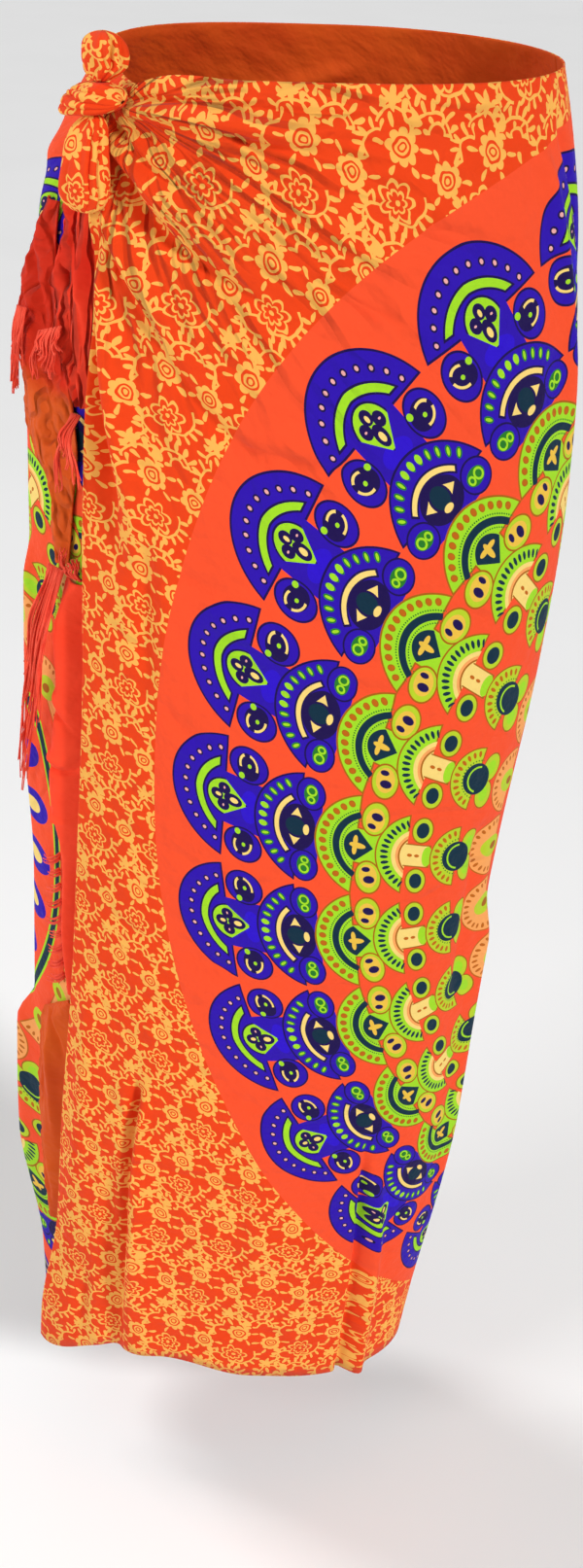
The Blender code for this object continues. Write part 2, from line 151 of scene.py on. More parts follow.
def fold_relief(turn, drop, folds):
    """Height of the folds: for each one, height times exp(-(distance / width) squared), where the distance is
    to the nearest straight piece of its bent line, and both ends fade out."""
    relief = np.zeros(np.broadcast(turn, drop).shape)
    across, down = turn * METRES_PER_DEGREE + 0 * drop, drop + 0 * turn
    t = np.linspace(0, 1, FOLD_PIECES + 1)
    for fold in folds:
        line_x = bent(t, fold.turn_a, fold.turn_b, fold.turn_c) * METRES_PER_DEGREE
        line_y = bent(t, fold.drop_a, fold.drop_b, fold.drop_c)
        reach = 3 * max(fold.width_a, fold.width_c)
        near = (across > line_x.min() - reach) & (across < line_x.max() + reach)
        near &= (down > line_y.min() - reach) & (down < line_y.max() + reach)
        if not near.any():
            continue
        px, py = across[near][:, None], down[near][:, None]
        step_x, step_y = np.diff(line_x), np.diff(line_y)
        share = ((px - line_x[:-1]) * step_x + (py - line_y[:-1]) * step_y) / (step_x**2 + step_y**2)
        share = np.clip(share, 0, 1)
        away = np.hypot(px - line_x[:-1] - share * step_x, py - line_y[:-1] - share * step_y)
        best = away.argmin(axis=1)
        rows = np.arange(len(best))
        where = (best + share[rows, best]) / FOLD_PIECES
        width = fold.width_a + (fold.width_c - fold.width_a) * where
        fade = ease(where / 0.15) * ease((1.05 - where) / 0.45)
        fade = ease(where / 0.4) if fold.drop_c > 1 else fade
        relief[near] += fold.height * fade * np.exp(-((away[rows, best] / width) ** 2))
    return relief


# %% [markdown]
# ### The large folds
# These give the cloth its shape: the fan of folds at the knot, the waves at the hem and the soft ones of
# the back. The solids have them too, so the same rows stand here.

# %% The large folds
MAIN_FOLDS = fold_rows(
    (-52, 24, -30, 12, 8, 22, 35, 90, 34), (-51, 31, -28, 34, -2, 50, 30, 90, -31),
    (-50, 36, -36, 52, -12, 77, 35, 110, 48), (-51, 42, -38, 74, -6, 122, 35, 120, -39),
    (-52, 46, -43, 98, -20, 170, 40, 130, 48), (-53, 50, -46, 130, -8, 215, 40, 120, -34),
    (-46, 125, -44, 200, -38, 310, 45, 100, -40), (-41, 110, -38, 190, -32, 330, 60, 140, 42),
    (-20, 300, -5, 330, 14, 350, 120, 160, 28), (-35, 745, -36, 870, -36, 1010, 70, 110, -48),
    (-30, 700, -27, 850, -24, 1010, 80, 150, 42), (42, 780, 44, 900, 46, 1030, 70, 120, 50),
    (10, 640, 6, 800, 4, 1010, 150, 260, 45), (265, 680, 264, 790, 266, 930, 150, 220, 150),
    (292, 40, 262, 60, 226, 100, 60, 130, 30), (288, 60, 264, 120, 236, 190, 60, 140, -26),
    (286, 80, 266, 180, 246, 310, 60, 150, 34), (236, 520, 232, 780, 230, 1030, 120, 200, 40),
    (205, 600, 203, 800, 200, 1030, 120, 200, -34), (172, 560, 173, 800, 175, 1030, 140, 220, 42),
    (136, 640, 134, 820, 132, 1030, 120, 190, -30),
)
print("large folds:", len(MAIN_FOLDS))

# %% [markdown]
# ### The creases of the front
# Cloth pulled by hand creases unevenly, so each valley has its own length, depth and spacing, and most have
# a soft ridge beside them. Noise could make them in one step, but these follow the photograph, so they are
# placed one by one.

# %% The creases of the front
CREASE_DEPTH = 1.6          # the heights are for a cloth pressed flat, and hanging cloth is fuller
FRONT_CREASES = fold_rows(
    (-56, 27, -36, 51, -22, 66, 22, 40, -42), (-52, 36, -34, 62, -20, 78, 30, 70, 26),
    (-27, 60, -14, 83, -2, 101, 30, 60, -16), (-41, 57, -17, 84, -2, 116, 60, 110, 24),
    (-46, 51, -35, 82, -19, 103, 26, 42, -38), (-25, 95, -11, 109, 6, 146, 32, 60, -21),
    (-50, 66, -40, 108, -24, 159, 26, 48, -44), (-47, 72, -34, 112, -18, 150, 50, 90, 24),
    (-27, 150, -17, 193, -8, 205, 40, 55, -22), (-13, 200, -4, 209, 22, 218, 36, 50, -17),
    (-10, 191, 0, 199, 18, 207, 60, 80, 13), (-51, 78, -46, 161, -36, 290, 40, 85, -62),
    (-46, 90, -41, 165, -31, 270, 50, 100, 30), (-53, 17, -26, 12, 16, 18, 22, 42, -32),
    (-50, 24, -24, 21, 8, 30, 30, 70, 20), (-20, 29, -12, 34, -3, 36, 30, 30, -20),
    (-1, 26, 11, 31, 21, 33, 30, 35, -17), (-52, 28, -18, 22, 12, 46, 24, 70, -20),
    (-48, 32, -19, 45, 2, 60, 28, 60, -20), (7, 113, 14, 118, 22, 133, 30, 35, -16),
    (22, 72, 36, 85, 50, 95, 40, 60, -13), (26, 17, 40, 26, 64, 32, 30, 60, -15),
    (20, 8, 37, 10, 60, 12, 30, 50, 12), (-24, 285, -17, 288, -10, 304, 30, 40, -17),
    (-25, 373, -26, 397, -8, 400, 40, 45, -18), (-17, 572, -9, 579, 1, 594, 30, 35, -20),
    (-7, 682, -1, 692, 9, 720, 30, 40, -18), (-1, 258, 6, 266, 18, 280, 35, 50, -14),
    (7, 350, 16, 359, 33, 366, 40, 60, -12), (0, 614, 10, 637, 24, 640, 40, 60, -12),
    (-31, 260, -30, 317, -30, 390, 60, 80, -22), (-27, 250, -26, 330, -26, 420, 80, 100, 16),
    (-28, 685, -30, 772, -34, 995, 35, 56, -64), (-25, 700, -26, 790, -31, 995, 60, 100, 40),
    (-22, 713, -27, 782, -30, 900, 30, 45, -24), (35, 730, 39, 828, 41, 1030, 32, 50, -56),
    (39, 760, 43, 850, 45, 1030, 60, 90, 34), (-45, 608, -42, 715, -56, 945, 100, 160, 22),
    (2, 780, 2, 851, -2, 970, 90, 140, -18), (18, 820, 20, 900, 21, 990, 80, 120, 18),
    (-46, 905, -48, 940, -52, 985, 50, 80, -22),
)
print("front creases:", len(FRONT_CREASES))

# %% [markdown]
# ### The creases of the far side and the back
# These are not in the photograph. They follow how cloth hangs there: upright waves below the hips, and a
# few slanting pulls towards the waist and the knot. They are longer and softer than those of the front.

# %% The creases of the far side and the back
SIDE_CREASES = fold_rows(
    (56, 30, 70, 120, 78, 260, 70, 120, 34), (66, 20, 84, 80, 96, 210, 60, 100, -31),
    (60, 480, 66, 560, 66, 680, 90, 130, -34), (78, 560, 84, 720, 84, 960, 110, 170, 54),
    (94, 600, 97, 760, 96, 1010, 100, 150, -51), (108, 500, 112, 700, 112, 980, 110, 170, 58),
)
BACK_CREASES = fold_rows(
    (122, 60, 130, 110, 150, 150, 60, 100, -31), (118, 120, 132, 210, 160, 270, 80, 140, 34),
    (150, 560, 152, 780, 153, 1012, 110, 170, 48), (186, 500, 188, 720, 188, 1012, 120, 180, -51),
    (218, 560, 219, 760, 218, 1012, 100, 160, 51), (170, 20, 196, 50, 230, 58, 50, 90, -31),
    (190, 120, 220, 150, 252, 130, 60, 110, -32), (206, 250, 230, 240, 258, 200, 70, 120, 34),
    (214, 360, 238, 330, 262, 270, 60, 100, -29), (248, 420, 252, 560, 252, 760, 100, 150, -48),
    (274, 300, 272, 420, 268, 560, 80, 110, 41),
)
CREASES = FRONT_CREASES + SIDE_CREASES + BACK_CREASES
print("side and back creases:", len(SIDE_CREASES) + len(BACK_CREASES))

# %% [markdown]
# ## The wound cloth
# The real cloth is one layer from the fold under the knot, across the front, round the back and in behind
# the fold again. One grid could carry all of it, but the creases of the front need a finer one, so the
# front and the back are two grids that share their last column. Solidify gives the cloth its thickness.

# %% The wrap's edges and sheets
FrontEdge = namedtuple("FrontEdge", "drop turn")
FRONT_EDGE = (
    FrontEdge(0.010, -58.0), FrontEdge(0.080, -51.8), FrontEdge(0.130, -49.0), FrontEdge(0.280, -48.9),
    FrontEdge(0.450, -49.8), FrontEdge(0.620, -52.0), FrontEdge(0.720, -55.2), FrontEdge(0.820, -58.5),
    FrontEdge(0.900, -64.5), FrontEdge(1.020, -75.0),
)
FOLD_RADIUS = 0.0032
TURNED_UNDER = 0.020
BACK_END_TURN = 317.0
BACK_INSET = 0.0125
INSET_FROM, INSET_TO = 266.0, 292.0
CORNER_OUT = 0.0090
CLOTH = 0.0011              # thickness of the sheets that show
WRAP_ROWS, FRONT_COLUMNS, BACK_COLUMNS = 210, 214, 112
SIDE_TURN = 100.0           # where the front grid ends and the back grid begins

collection = bpy.context.scene.collection


def back_inset(turn):
    """The back stretch sinks behind the hanging ends: an eased step from 0 to -BACK_INSET."""
    return -BACK_INSET * ease((np.asarray(turn) % 360 - INSET_FROM) / (INSET_TO - INSET_FROM))


def grid_faces(index):
    """Squares between neighbours in a grid of numbers."""
    return np.stack([index[:-1, :-1], index[1:, :-1], index[1:, 1:], index[:-1, 1:]], axis=-1).reshape(-1, 4)


def add_piece(mesh, material):
    """A smooth piece from a mesh, which goes with the root body."""
    mesh.materials.append(material)
    mesh.shade_smooth()
    made = bpy.data.objects.new(mesh.name, mesh)
    collection.objects.link(made)
    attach(made, "root")
    return made


def longest(steps, axis):
    """The longest line of a grid in metres, from the steps along it."""
    return round(float(np.linalg.norm(steps, axis=2).sum(axis=axis).max()), 3)


def grid_mesh(name, points, flat, material, closed=False):
    """A sheet from a grid of points whose rows run down and whose columns run towards +X, with its flat
    coordinates in metres as the map called cloth, and the same map scaled to 0..1 for baking."""
    rows, columns = points.shape[:2]
    index = np.arange(rows * columns).reshape(rows, columns)
    if closed:
        index = np.concatenate([index, index[:, :1]], axis=1)
    mesh = bpy.data.meshes.new(name)
    mesh.from_pydata(points.reshape(-1, 3).tolist(), [], grid_faces(index).tolist())
    corners = np.empty(len(mesh.loops), np.int32)
    mesh.loops.foreach_get("vertex_index", corners)
    if closed:
        corners = grid_faces(np.arange(rows * (columns + 1)).reshape(rows, columns + 1)).reshape(-1)
    on_cloth = flat.reshape(-1, 2)[corners]
    mesh.uv_layers.new(name="cloth").data.foreach_set("uv", on_cloth.astype(np.float32).ravel())
    low, high = flat.reshape(-1, 2).min(axis=0), flat.reshape(-1, 2).max(axis=0)
    bake = 0.01 + 0.98 * (on_cloth - low) / (high - low)
    mesh.uv_layers.new(name="OFBake").data.foreach_set("uv", bake.astype(np.float32).ravel())
    mesh.uv_layers["cloth"].active_render = True
    made = add_piece(mesh, material)
    across, down = np.diff(points, axis=1), np.diff(points, axis=0)
    area = round(float(np.linalg.norm(np.cross(across[:-1], down[:, :-1]), axis=2).sum()), 4)
    print(name, "is at most", longest(across, 1), "m across and", longest(down, 0), "m down, and", area, "m2")
    return made


def thicken(made, wall=CLOTH, lining=None):
    """Solidify inwards from the outer side. The inner side can show the reverse of the cloth."""
    solid = made.modifiers.new("Thickness", "SOLIDIFY")
    solid.thickness = wall
    solid.offset = -1
    if lining:
        made.data.materials.append(lining)
        solid.material_offset = 1
    return made


# %% [markdown]
# ### The flat cloth under the wrap
# The cloth lies askew on the body, pulled up at the knot. A plain unrolling would print the wheel straight,
# so eastings and northings on the cloth are sums of powers of the place on the body, fitted to marks read
# off.

# %% The flat cloth
FLAT_MIDDLE = (0.1, -0.5)   # metres across and up, where the powers are taken from
FLAT_EAST = (
    (0, 0, -0.3477), (1, 0, 1.0057), (0, 1, 0.2159), (2, 0, -0.2242), (1, 1, -0.0405), (0, 2, -0.0062),
    (3, 0, -0.0150), (2, 1, 0.0819), (1, 2, -0.3915), (0, 3, -0.0827), (4, 0, 0.8730), (3, 1, -0.0809),
    (2, 2, 0.6528), (1, 3, 0.1162), (0, 4, 0.0900),
)
FLAT_NORTH = (
    (0, 0, 0.0640), (1, 0, 0.1455), (0, 1, 0.9626), (2, 0, -0.5718), (1, 1, 0.0397), (0, 2, -0.1448),
    (3, 0, -1.3170), (2, 1, 0.3760), (1, 2, -0.1490), (0, 3, -0.0718), (4, 0, 2.6690), (3, 1, -0.7337),
    (2, 2, 1.0943), (1, 3, 0.1692), (0, 4, 0.1250),
)
FLAT_START = -0.22          # metres across, just past the front edge
FLAT_LIMIT = 0.40           # metres across where the slant has run out and the cloth goes straight on


def flat_cloth(s, z):
    """Flat position for a place on the body: the sum of share * across**i * up**j. Past the limits the slope
    at the limit carries on."""
    near = np.clip(s, FLAT_START, FLAT_LIMIT)
    across, up = near - FLAT_MIDDLE[0], z - FLAT_MIDDLE[1]
    flat = []
    for terms in (FLAT_EAST, FLAT_NORTH):
        value = sum(share * across**i * up**j for i, j, share in terms)
        slope = sum(share * i * across ** (i - 1) * up**j for i, j, share in terms if i)
        flat.append(value + slope * (s - near))
    return np.stack(flat, axis=-1)


print("the top of the front lies at", flat_cloth(0.0, 0.0).round(3), "m on the cloth")

# %% [markdown]
# ### The grids of the front and the back
# The front begins with cloth that is turned under, goes round a small half circle and on to the far side.
# The back goes on from there to its hidden end. Rows and columns lie closer near the knot, where creases
# are finest.

# %% The wrap's grids
def wrap_grid():
    """Turn, drop and out for the two grids. The front has turned-under cloth, a half circle for the fold and
    the open cloth to the side, and the back goes on to the hidden end. Rows lie closer near the knot."""
    t = np.linspace(0, 1, WRAP_ROWS)[:, None]
    share = 0.26 * t + 0.24 * t**2 + 0.50 * t**3
    edge = read(FRONT_EDGE, "turn", LENGTH * share) + FOLD_RADIUS / METRES_PER_DEGREE
    under = edge + TURNED_UNDER / METRES_PER_DEGREE * np.linspace(1, 0.12, 5)
    bend = np.radians(np.linspace(-90, 75, 8))
    round_turn = edge - FOLD_RADIUS / METRES_PER_DEGREE * np.cos(bend)
    round_out = FOLD_RADIUS * (np.sin(bend) - 1) + 0 * round_turn
    column = np.linspace(0, 1, FRONT_COLUMNS)[None, :]
    front = edge + (SIDE_TURN - edge) * (0.75 * column + 0.25 * column**2)
    back = SIDE_TURN + (BACK_END_TURN - SIDE_TURN) * np.linspace(0, 1, BACK_COLUMNS)[None, :] + 0 * edge
    turn = np.concatenate([under, round_turn, front], axis=1)
    out = np.concatenate([np.full_like(under, -2 * FOLD_RADIUS), round_out, 0 * front], axis=1)
    grids = []
    for turn, out in ((turn, out), (back, 0 * back)):
        top, hem = read(WAIST, "drop", turn, "turn"), read(HEM, "drop", turn, "turn")
        grids.append((turn, top + (hem - top) * share, out))
    return grids


def wrap_out(turn, drop):
    """How far the wrap stands out at a point: folds, the flared lower front corner and the sunken back."""
    corner = CORNER_OUT * ease((-44 - turn) / 24) * ease((drop - 0.86) / 0.12)
    creases = fold_relief(turn, drop, MAIN_FOLDS) + CREASE_DEPTH * fold_relief(turn, drop, CREASES)
    return creases + corner + back_inset(turn) * (turn > SIDE_TURN)


print("wrap grids:", [turn.shape for turn, drop, out in wrap_grid()])


# %% [markdown]
# ## The print
# The cloth is printed with one large wheel of fans on a plain disc, and small flowers fill the rest. A
# picture could be laid on the cloth instead, but a drawing from shapes stays sharp at any size and can be
# changed. Each shape is a mask in millimetres on the flat cloth, and later ones cover earlier ones, as
# layers of ink do.

# %% Drawing helpers
INKS = {
    "field": (0.900, 0.056, 0.003),
    "gold": (1.000, 0.480, 0.090),
    "disc": (1.000, 0.086, 0.022),
    "blue": (0.026, 0.002, 0.430),
    "neck blue": (0.026, 0.002, 0.620),
    "navy": (0.0097, 0.001, 0.075),
    "lime": (0.376, 0.753, 0.017),
    "yellow lime": (0.515, 0.680, 0.020),
    "green": (0.020, 0.200, 0.020),
    "teal": (0.001, 0.026, 0.053),
    "cream": (1.000, 0.716, 0.205),
    "yellow": (0.900, 0.560, 0.060),
    "brown": (0.420, 0.125, 0.002),
    "amber": (0.550, 0.130, 0.003),
    "pink": (0.900, 0.430, 0.420),
    "apricot": (1.000, 0.400, 0.110),
}
INK_STRENGTH = 0.84
INK_NUMBER = {name: number for number, name in enumerate(INKS)}


class Drawing:
    """Masks of 0 or 1 on a plane in millimetres, and paint, which lays an ink's number where a mask is 1."""

    def __init__(self, tree, first_ink):
        self.tree = tree
        self.ink = float(INK_NUMBER[first_ink])

    def add(self, kind, operation, values):
        node = self.tree.nodes.new(kind)
        if operation:
            node.operation = operation
        for socket, value in zip(node.inputs, values):
            if isinstance(value, (int, float, tuple)):
                socket.default_value = value
            else:
                self.tree.links.new(value, socket)
        return node

    def math(self, operation, *values):
        return self.add("ShaderNodeMath", operation, values).outputs[0]

    def vector(self, operation, *values):
        node = self.add("ShaderNodeVectorMath", operation, values)
        single = operation in ("LENGTH", "DISTANCE", "DOT_PRODUCT")
        return node.outputs["Value" if single else "Vector"]

    def point(self, x, y):
        return self.add("ShaderNodeCombineXYZ", None, (x, y)).outputs[0]

    def reach(self, at, x, y, half_x, half_y, tilt=0.0):
        """Distance from an ellipse's middle as a share of its radius: 1 on the rim. Tilt is in degrees."""
        if not tilt:
            scale, shift = (1 / half_x, 1 / half_y, 0.0), (-x / half_x, -y / half_y, 0.0)
            return self.vector("LENGTH", self.vector("MULTIPLY_ADD", at, scale, shift))
        c, s = np.cos(np.radians(tilt)), np.sin(np.radians(tilt))
        along = self.vector("DOT_PRODUCT", at, (c / half_x, s / half_x, 0.0))
        beside = self.vector("DOT_PRODUCT", at, (-s / half_y, c / half_y, 0.0))
        along = self.math("SUBTRACT", along, float(x * c + y * s) / half_x)
        beside = self.math("SUBTRACT", beside, float(y * c - x * s) / half_y)
        return self.vector("LENGTH", self.point(along, beside))

    def away(self, at, x, y=0.0):
        return self.vector("DISTANCE", at, (x, y, 0.0))

    def below(self, value, limit):
        return self.math("LESS_THAN", value, limit)

    def above(self, value, limit):
        return self.math("GREATER_THAN", value, limit)

    def band(self, value, middle, half):
        return self.math("COMPARE", value, middle, half)

    def both(self, a, b):
        return self.math("MULTIPLY", a, b)

    def either(self, a, b):
        return self.math("MAXIMUM", a, b)

    def without(self, a, b):
        return self.math("GREATER_THAN", a, b)

    def ellipse(self, at, x, y, half_x, half_y, tilt=0.0):
        return self.below(self.reach(at, x, y, half_x, half_y, tilt), 1.0)

    def paint(self, ink, mask):
        node = self.tree.nodes.new("ShaderNodeMix")
        self.tree.links.new(mask, node.inputs[0])
        if isinstance(self.ink, float):
            node.inputs[2].default_value = self.ink
        else:
            self.tree.links.new(self.ink, node.inputs[2])
        node.inputs[3].default_value = INK_NUMBER[ink]
        self.ink = node.outputs[0]

    def oval(self, ink, *ellipse):
        self.paint(ink, self.ellipse(*ellipse))

    def beads(self, ink, *ticks):
        self.paint(ink, self.ticks(*ticks))

    def noise(self, at, scale, detail):
        node = self.tree.nodes.new("ShaderNodeTexNoise")
        node.inputs["Scale"].default_value = scale
        node.inputs["Detail"].default_value = detail
        self.tree.links.new(at, node.inputs["Vector"])
        return node

    def valleys(self, at, sharp, limit):
        """Sharp valleys where a noise crosses its middle: |noise - 0.5| times sharp, up to a limit."""
        noise = self.noise(at, 1.0, 1.5).outputs["Fac"]
        valley = self.math("ABSOLUTE", self.math("SUBTRACT", noise, 0.5))
        return self.math("MINIMUM", self.math("MULTIPLY", valley, sharp), limit)

    def bump(self, height, strength, distance, under=None):
        """A bump over the one under it, with its distance in metres."""
        node = self.tree.nodes.new("ShaderNodeBump")
        node.inputs["Strength"].default_value = strength
        node.inputs["Distance"].default_value = distance
        self.tree.links.new(height, node.inputs["Height"])
        if under:
            self.tree.links.new(under, node.inputs["Normal"])
        return node.outputs["Normal"]

    def ticks(self, away, angle, radius, spacing, half_out, half_side, last, shift=0.0):
        """A row of ellipses along an arc, from the arc's own polar coordinates: the angle is wrapped to one
        spacing, and last is the angle where the row ends. Angles are in degrees."""
        step = np.radians(spacing)
        turned = self.math("ADD", angle, np.radians(shift)) if shift else angle
        wrapped = self.math("WRAP", turned, step / 2, -step / 2)
        side = self.math("MULTIPLY", wrapped, radius)
        row = self.ellipse(self.point(away, side), radius, 0.0, half_out, half_side)
        return self.both(row, self.below(angle, np.radians(last)))

    def polar(self, at, x, y=0.0):
        """Distance and angle of a point about a middle, 0 straight outwards."""
        ahead = self.math("SUBTRACT", self.vector("DOT_PRODUCT", at, (1.0, 0.0, 0.0)), x)
        beside = self.vector("DOT_PRODUCT", at, (0.0, 1.0, 0.0))
        beside = self.math("SUBTRACT", beside, y) if y else beside
        return self.away(at, x, y), self.math("ARCTAN2", beside, ahead)

    def colour(self):
        """The ink number looked up in a ramp with one even step for each ink."""
        share = self.math("MULTIPLY_ADD", self.ink, 1 / len(INKS), 0.5 / len(INKS))
        ramp = self.tree.nodes.new("ShaderNodeValToRGB")
        ramp.color_ramp.interpolation = "CONSTANT"
        stops = ramp.color_ramp.elements
        while len(stops) < len(INKS):
            stops.new(1.0)
        for number, colour in enumerate(INKS.values()):
            stops[number].position = number / len(INKS)
            stops[number].color = (*(INK_STRENGTH * part for part in colour), 1)
        self.tree.links.new(share, ramp.inputs[0])
        return ramp.outputs[0]


# %% [markdown]
# ### The wheel
# Thirty-two equal sectors stand round the disc, each a stack of fans that get smaller towards the middle.
# Only half of one sector is drawn, because the angle is folded first, so that the other halves are mirrored
# copies.

# %% Draw the wheel
SECTORS = 32
FIRST_AXIS = 100.64         # degrees, the direction of one sector's axis
DISC_RADIUS = 528.0


def fan(draw, at, x, middle, radius, base, outline, inside, rim=1.2):
    """A round fan: the part of a disc that lies outside its base line, with an outline."""
    away, angle = draw.polar(at, middle)
    draw.paint(outline, draw.both(draw.below(away, radius), draw.above(x, base)))
    draw.paint(inside, draw.both(draw.below(away, radius - rim), draw.above(x, base + rim)))
    return away, angle


def block(draw, x, across, from_x, to_x, half):
    return draw.both(draw.band(x, (from_x + to_x) / 2, (to_x - from_x) / 2), draw.below(across, half))


def draw_outer_fans(draw, at, x, across):
    """The blue fans with their chevron and four-lobed flower, and the lobes at their necks."""
    away, angle = fan(draw, at, x, 470.0, 45.5, 479.5, "navy", "blue")
    draw.paint("blue", block(draw, x, across, 452, 481.5, 18.5))
    draw.oval("neck blue", at, 463.5, 0, 6, 12)
    draw.beads("navy", away, angle, 36.3, 13.3, 2.2, 2.2, 73)
    draw.beads("pink", away, angle, 36.3, 13.3, 1.25, 1.15, 73)
    bent = draw.away(at, 464, -2)
    high = draw.above(x, 484.5)
    draw.paint("navy", draw.both(draw.band(bent, 33, 3.3), draw.above(x, 483.3)))
    draw.paint("lime", draw.both(draw.band(bent, 33, 2.1), high))
    kite = draw.above(draw.math("MULTIPLY_ADD", x, 0.86, -0.86 * 465), across)
    draw.paint("navy", draw.both(draw.below(draw.away(at, 478.5), 13.6), kite))
    draw.paint("lime", draw.both(draw.below(draw.away(at, 478.5), 12.4), kite))
    flower = draw.either(draw.below(draw.away(at, 480.5, 6.0), 4.0), draw.below(draw.away(at, 485.0), 4.0))
    flower = draw.either(flower, draw.ellipse(at, 474.5, 0, 6.0, 4.3))
    draw.paint("navy", flower)
    draw.oval("cream", at, 484.2, 0, 1.9, 1.3)
    draw.oval("cream", at, 473.8, 0, 2.7, 1.9)
    draw.oval("pink", at, 480.5, 6.4, 0.6, 1.0)
    lobe = draw.away(at, 465.8, 29.5)
    draw.paint("navy", draw.below(lobe, 12.9))
    draw.paint("blue", draw.below(lobe, 11.7))
    draw.oval("navy", at, 466.2, 28.2, 7.2, 9.4, -12)
    crescent = draw.reach(at, 466.0, 29.4, 5.4, 7.2, -12)
    curl = draw.both(draw.band(crescent, 1.0, 0.13), draw.above(across, 27.0))
    draw.paint("cream", draw.without(curl, draw.ellipse(at, 467.5, 37.0, 2.0, 2.6)))
    draw.oval("lime", at, 470.0, 20.8, 1.9, 2.2)
    draw.oval("lime", at, 465.4, 29.2, 1.2, 1.5)


def draw_second_fans(draw, at, x, across):
    """The second blue fans, with their green ticks, a cream arc and an eye."""
    away, angle = fan(draw, at, x, 417.5, 43.0, 430.5, "navy", "blue")
    draw.paint("blue", block(draw, x, across, 417, 432.5, 22))
    draw.beads("green", away, angle, 37.0, 10.4, 3.2, 1.9, 57)
    draw.beads("lime", away, angle, 37.0, 10.4, 2.3, 0.95, 57)
    draw.beads("lime", away, angle, 37.2, 10.4, 2.6, 2.1, 15.6)
    cream = draw.both(draw.band(away, 28.0, 1.45), draw.below(angle, np.radians(46)))
    draw.paint("navy", draw.both(draw.band(away, 28.0, 2.6), draw.below(angle, np.radians(49))))
    draw.paint("cream", cream)
    draw.oval("navy", at, 431.5, 0, 11.5, 17)
    tall = draw.math("ABSOLUTE", draw.math("SUBTRACT", x, 433.0))
    eye = draw.math("MULTIPLY_ADD", tall, 1.9, across)
    pupil = draw.below(draw.away(at, 432.6), 8.2)
    draw.paint("cream", draw.without(draw.below(eye, 14.2), pupil))
    draw.paint("teal", draw.below(draw.away(at, 433), 6.6))
    draw.oval("cream", at, 426.2, 0, 2.0, 3.9)
    draw.oval("navy", at, 425.2, 27.3, 9.7, 12.0)
    draw.oval("blue", at, 425.2, 27.3, 8.6, 10.9)
    draw.oval("green", at, 425.2, 26.8, 4.6, 7.4)
    draw.paint("lime", draw.band(draw.reach(at, 425.0, 29.5, 3.3, 3.6), 0.85, 0.2))
    draw.paint("lime", draw.band(draw.reach(at, 425.0, 23.0, 2.6, 2.6), 0.8, 0.25))


def draw_lime_fans(draw, at, x, across):
    """The lime fans: amber beads round the rim, teal arches and a yellow cross, over dark-seeded drops."""
    away, angle = fan(draw, at, x, 380.0, 40.5, 392.0, "brown", "lime")
    draw.beads("brown", away, angle, 35.0, 10.6, 2.5, 2.2, 64, 5.3)
    draw.beads("amber", away, angle, 35.0, 10.6, 2.0, 1.7, 64, 5.3)
    draw.beads("green", away, angle, 29.9, 3.4, 0.55, 0.55, 68)
    draw.paint("teal", draw.both(draw.band(away, 26.0, 2.3), draw.below(angle, np.radians(64))))
    draw.beads("green", away, angle, 21.9, 4.6, 0.5, 0.55, 70)
    draw.paint("brown", block(draw, x, across, 376, 393.2, 14))
    draw.paint("lime", block(draw, x, across, 375, 394, 12.8))
    bell = draw.above(draw.math("MULTIPLY_ADD", x, 1.05, -1.05 * 380.5), across)
    draw.paint("teal", draw.both(draw.below(draw.away(at, 387.5), 13.2), bell))
    draw.oval("yellow", at, 393.2, 3.6, 1.6, 4.0)
    draw.oval("yellow", at, 391.4, 0, 5.6, 2.2)
    seed = draw.reach(at, 381.5, 23.0, 9.6, 13.4, 8)
    draw.paint("brown", draw.below(seed, 1.0))
    draw.paint("yellow lime", draw.below(seed, 0.90))
    draw.oval("yellow", at, 381.6, 22.0, 6.4, 9.2, 8)
    draw.oval("navy", at, 380.6, 24.6, 4.0, 3.0, 12)
    draw.oval("navy", at, 383.6, 17.0, 3.0, 2.0, 12)


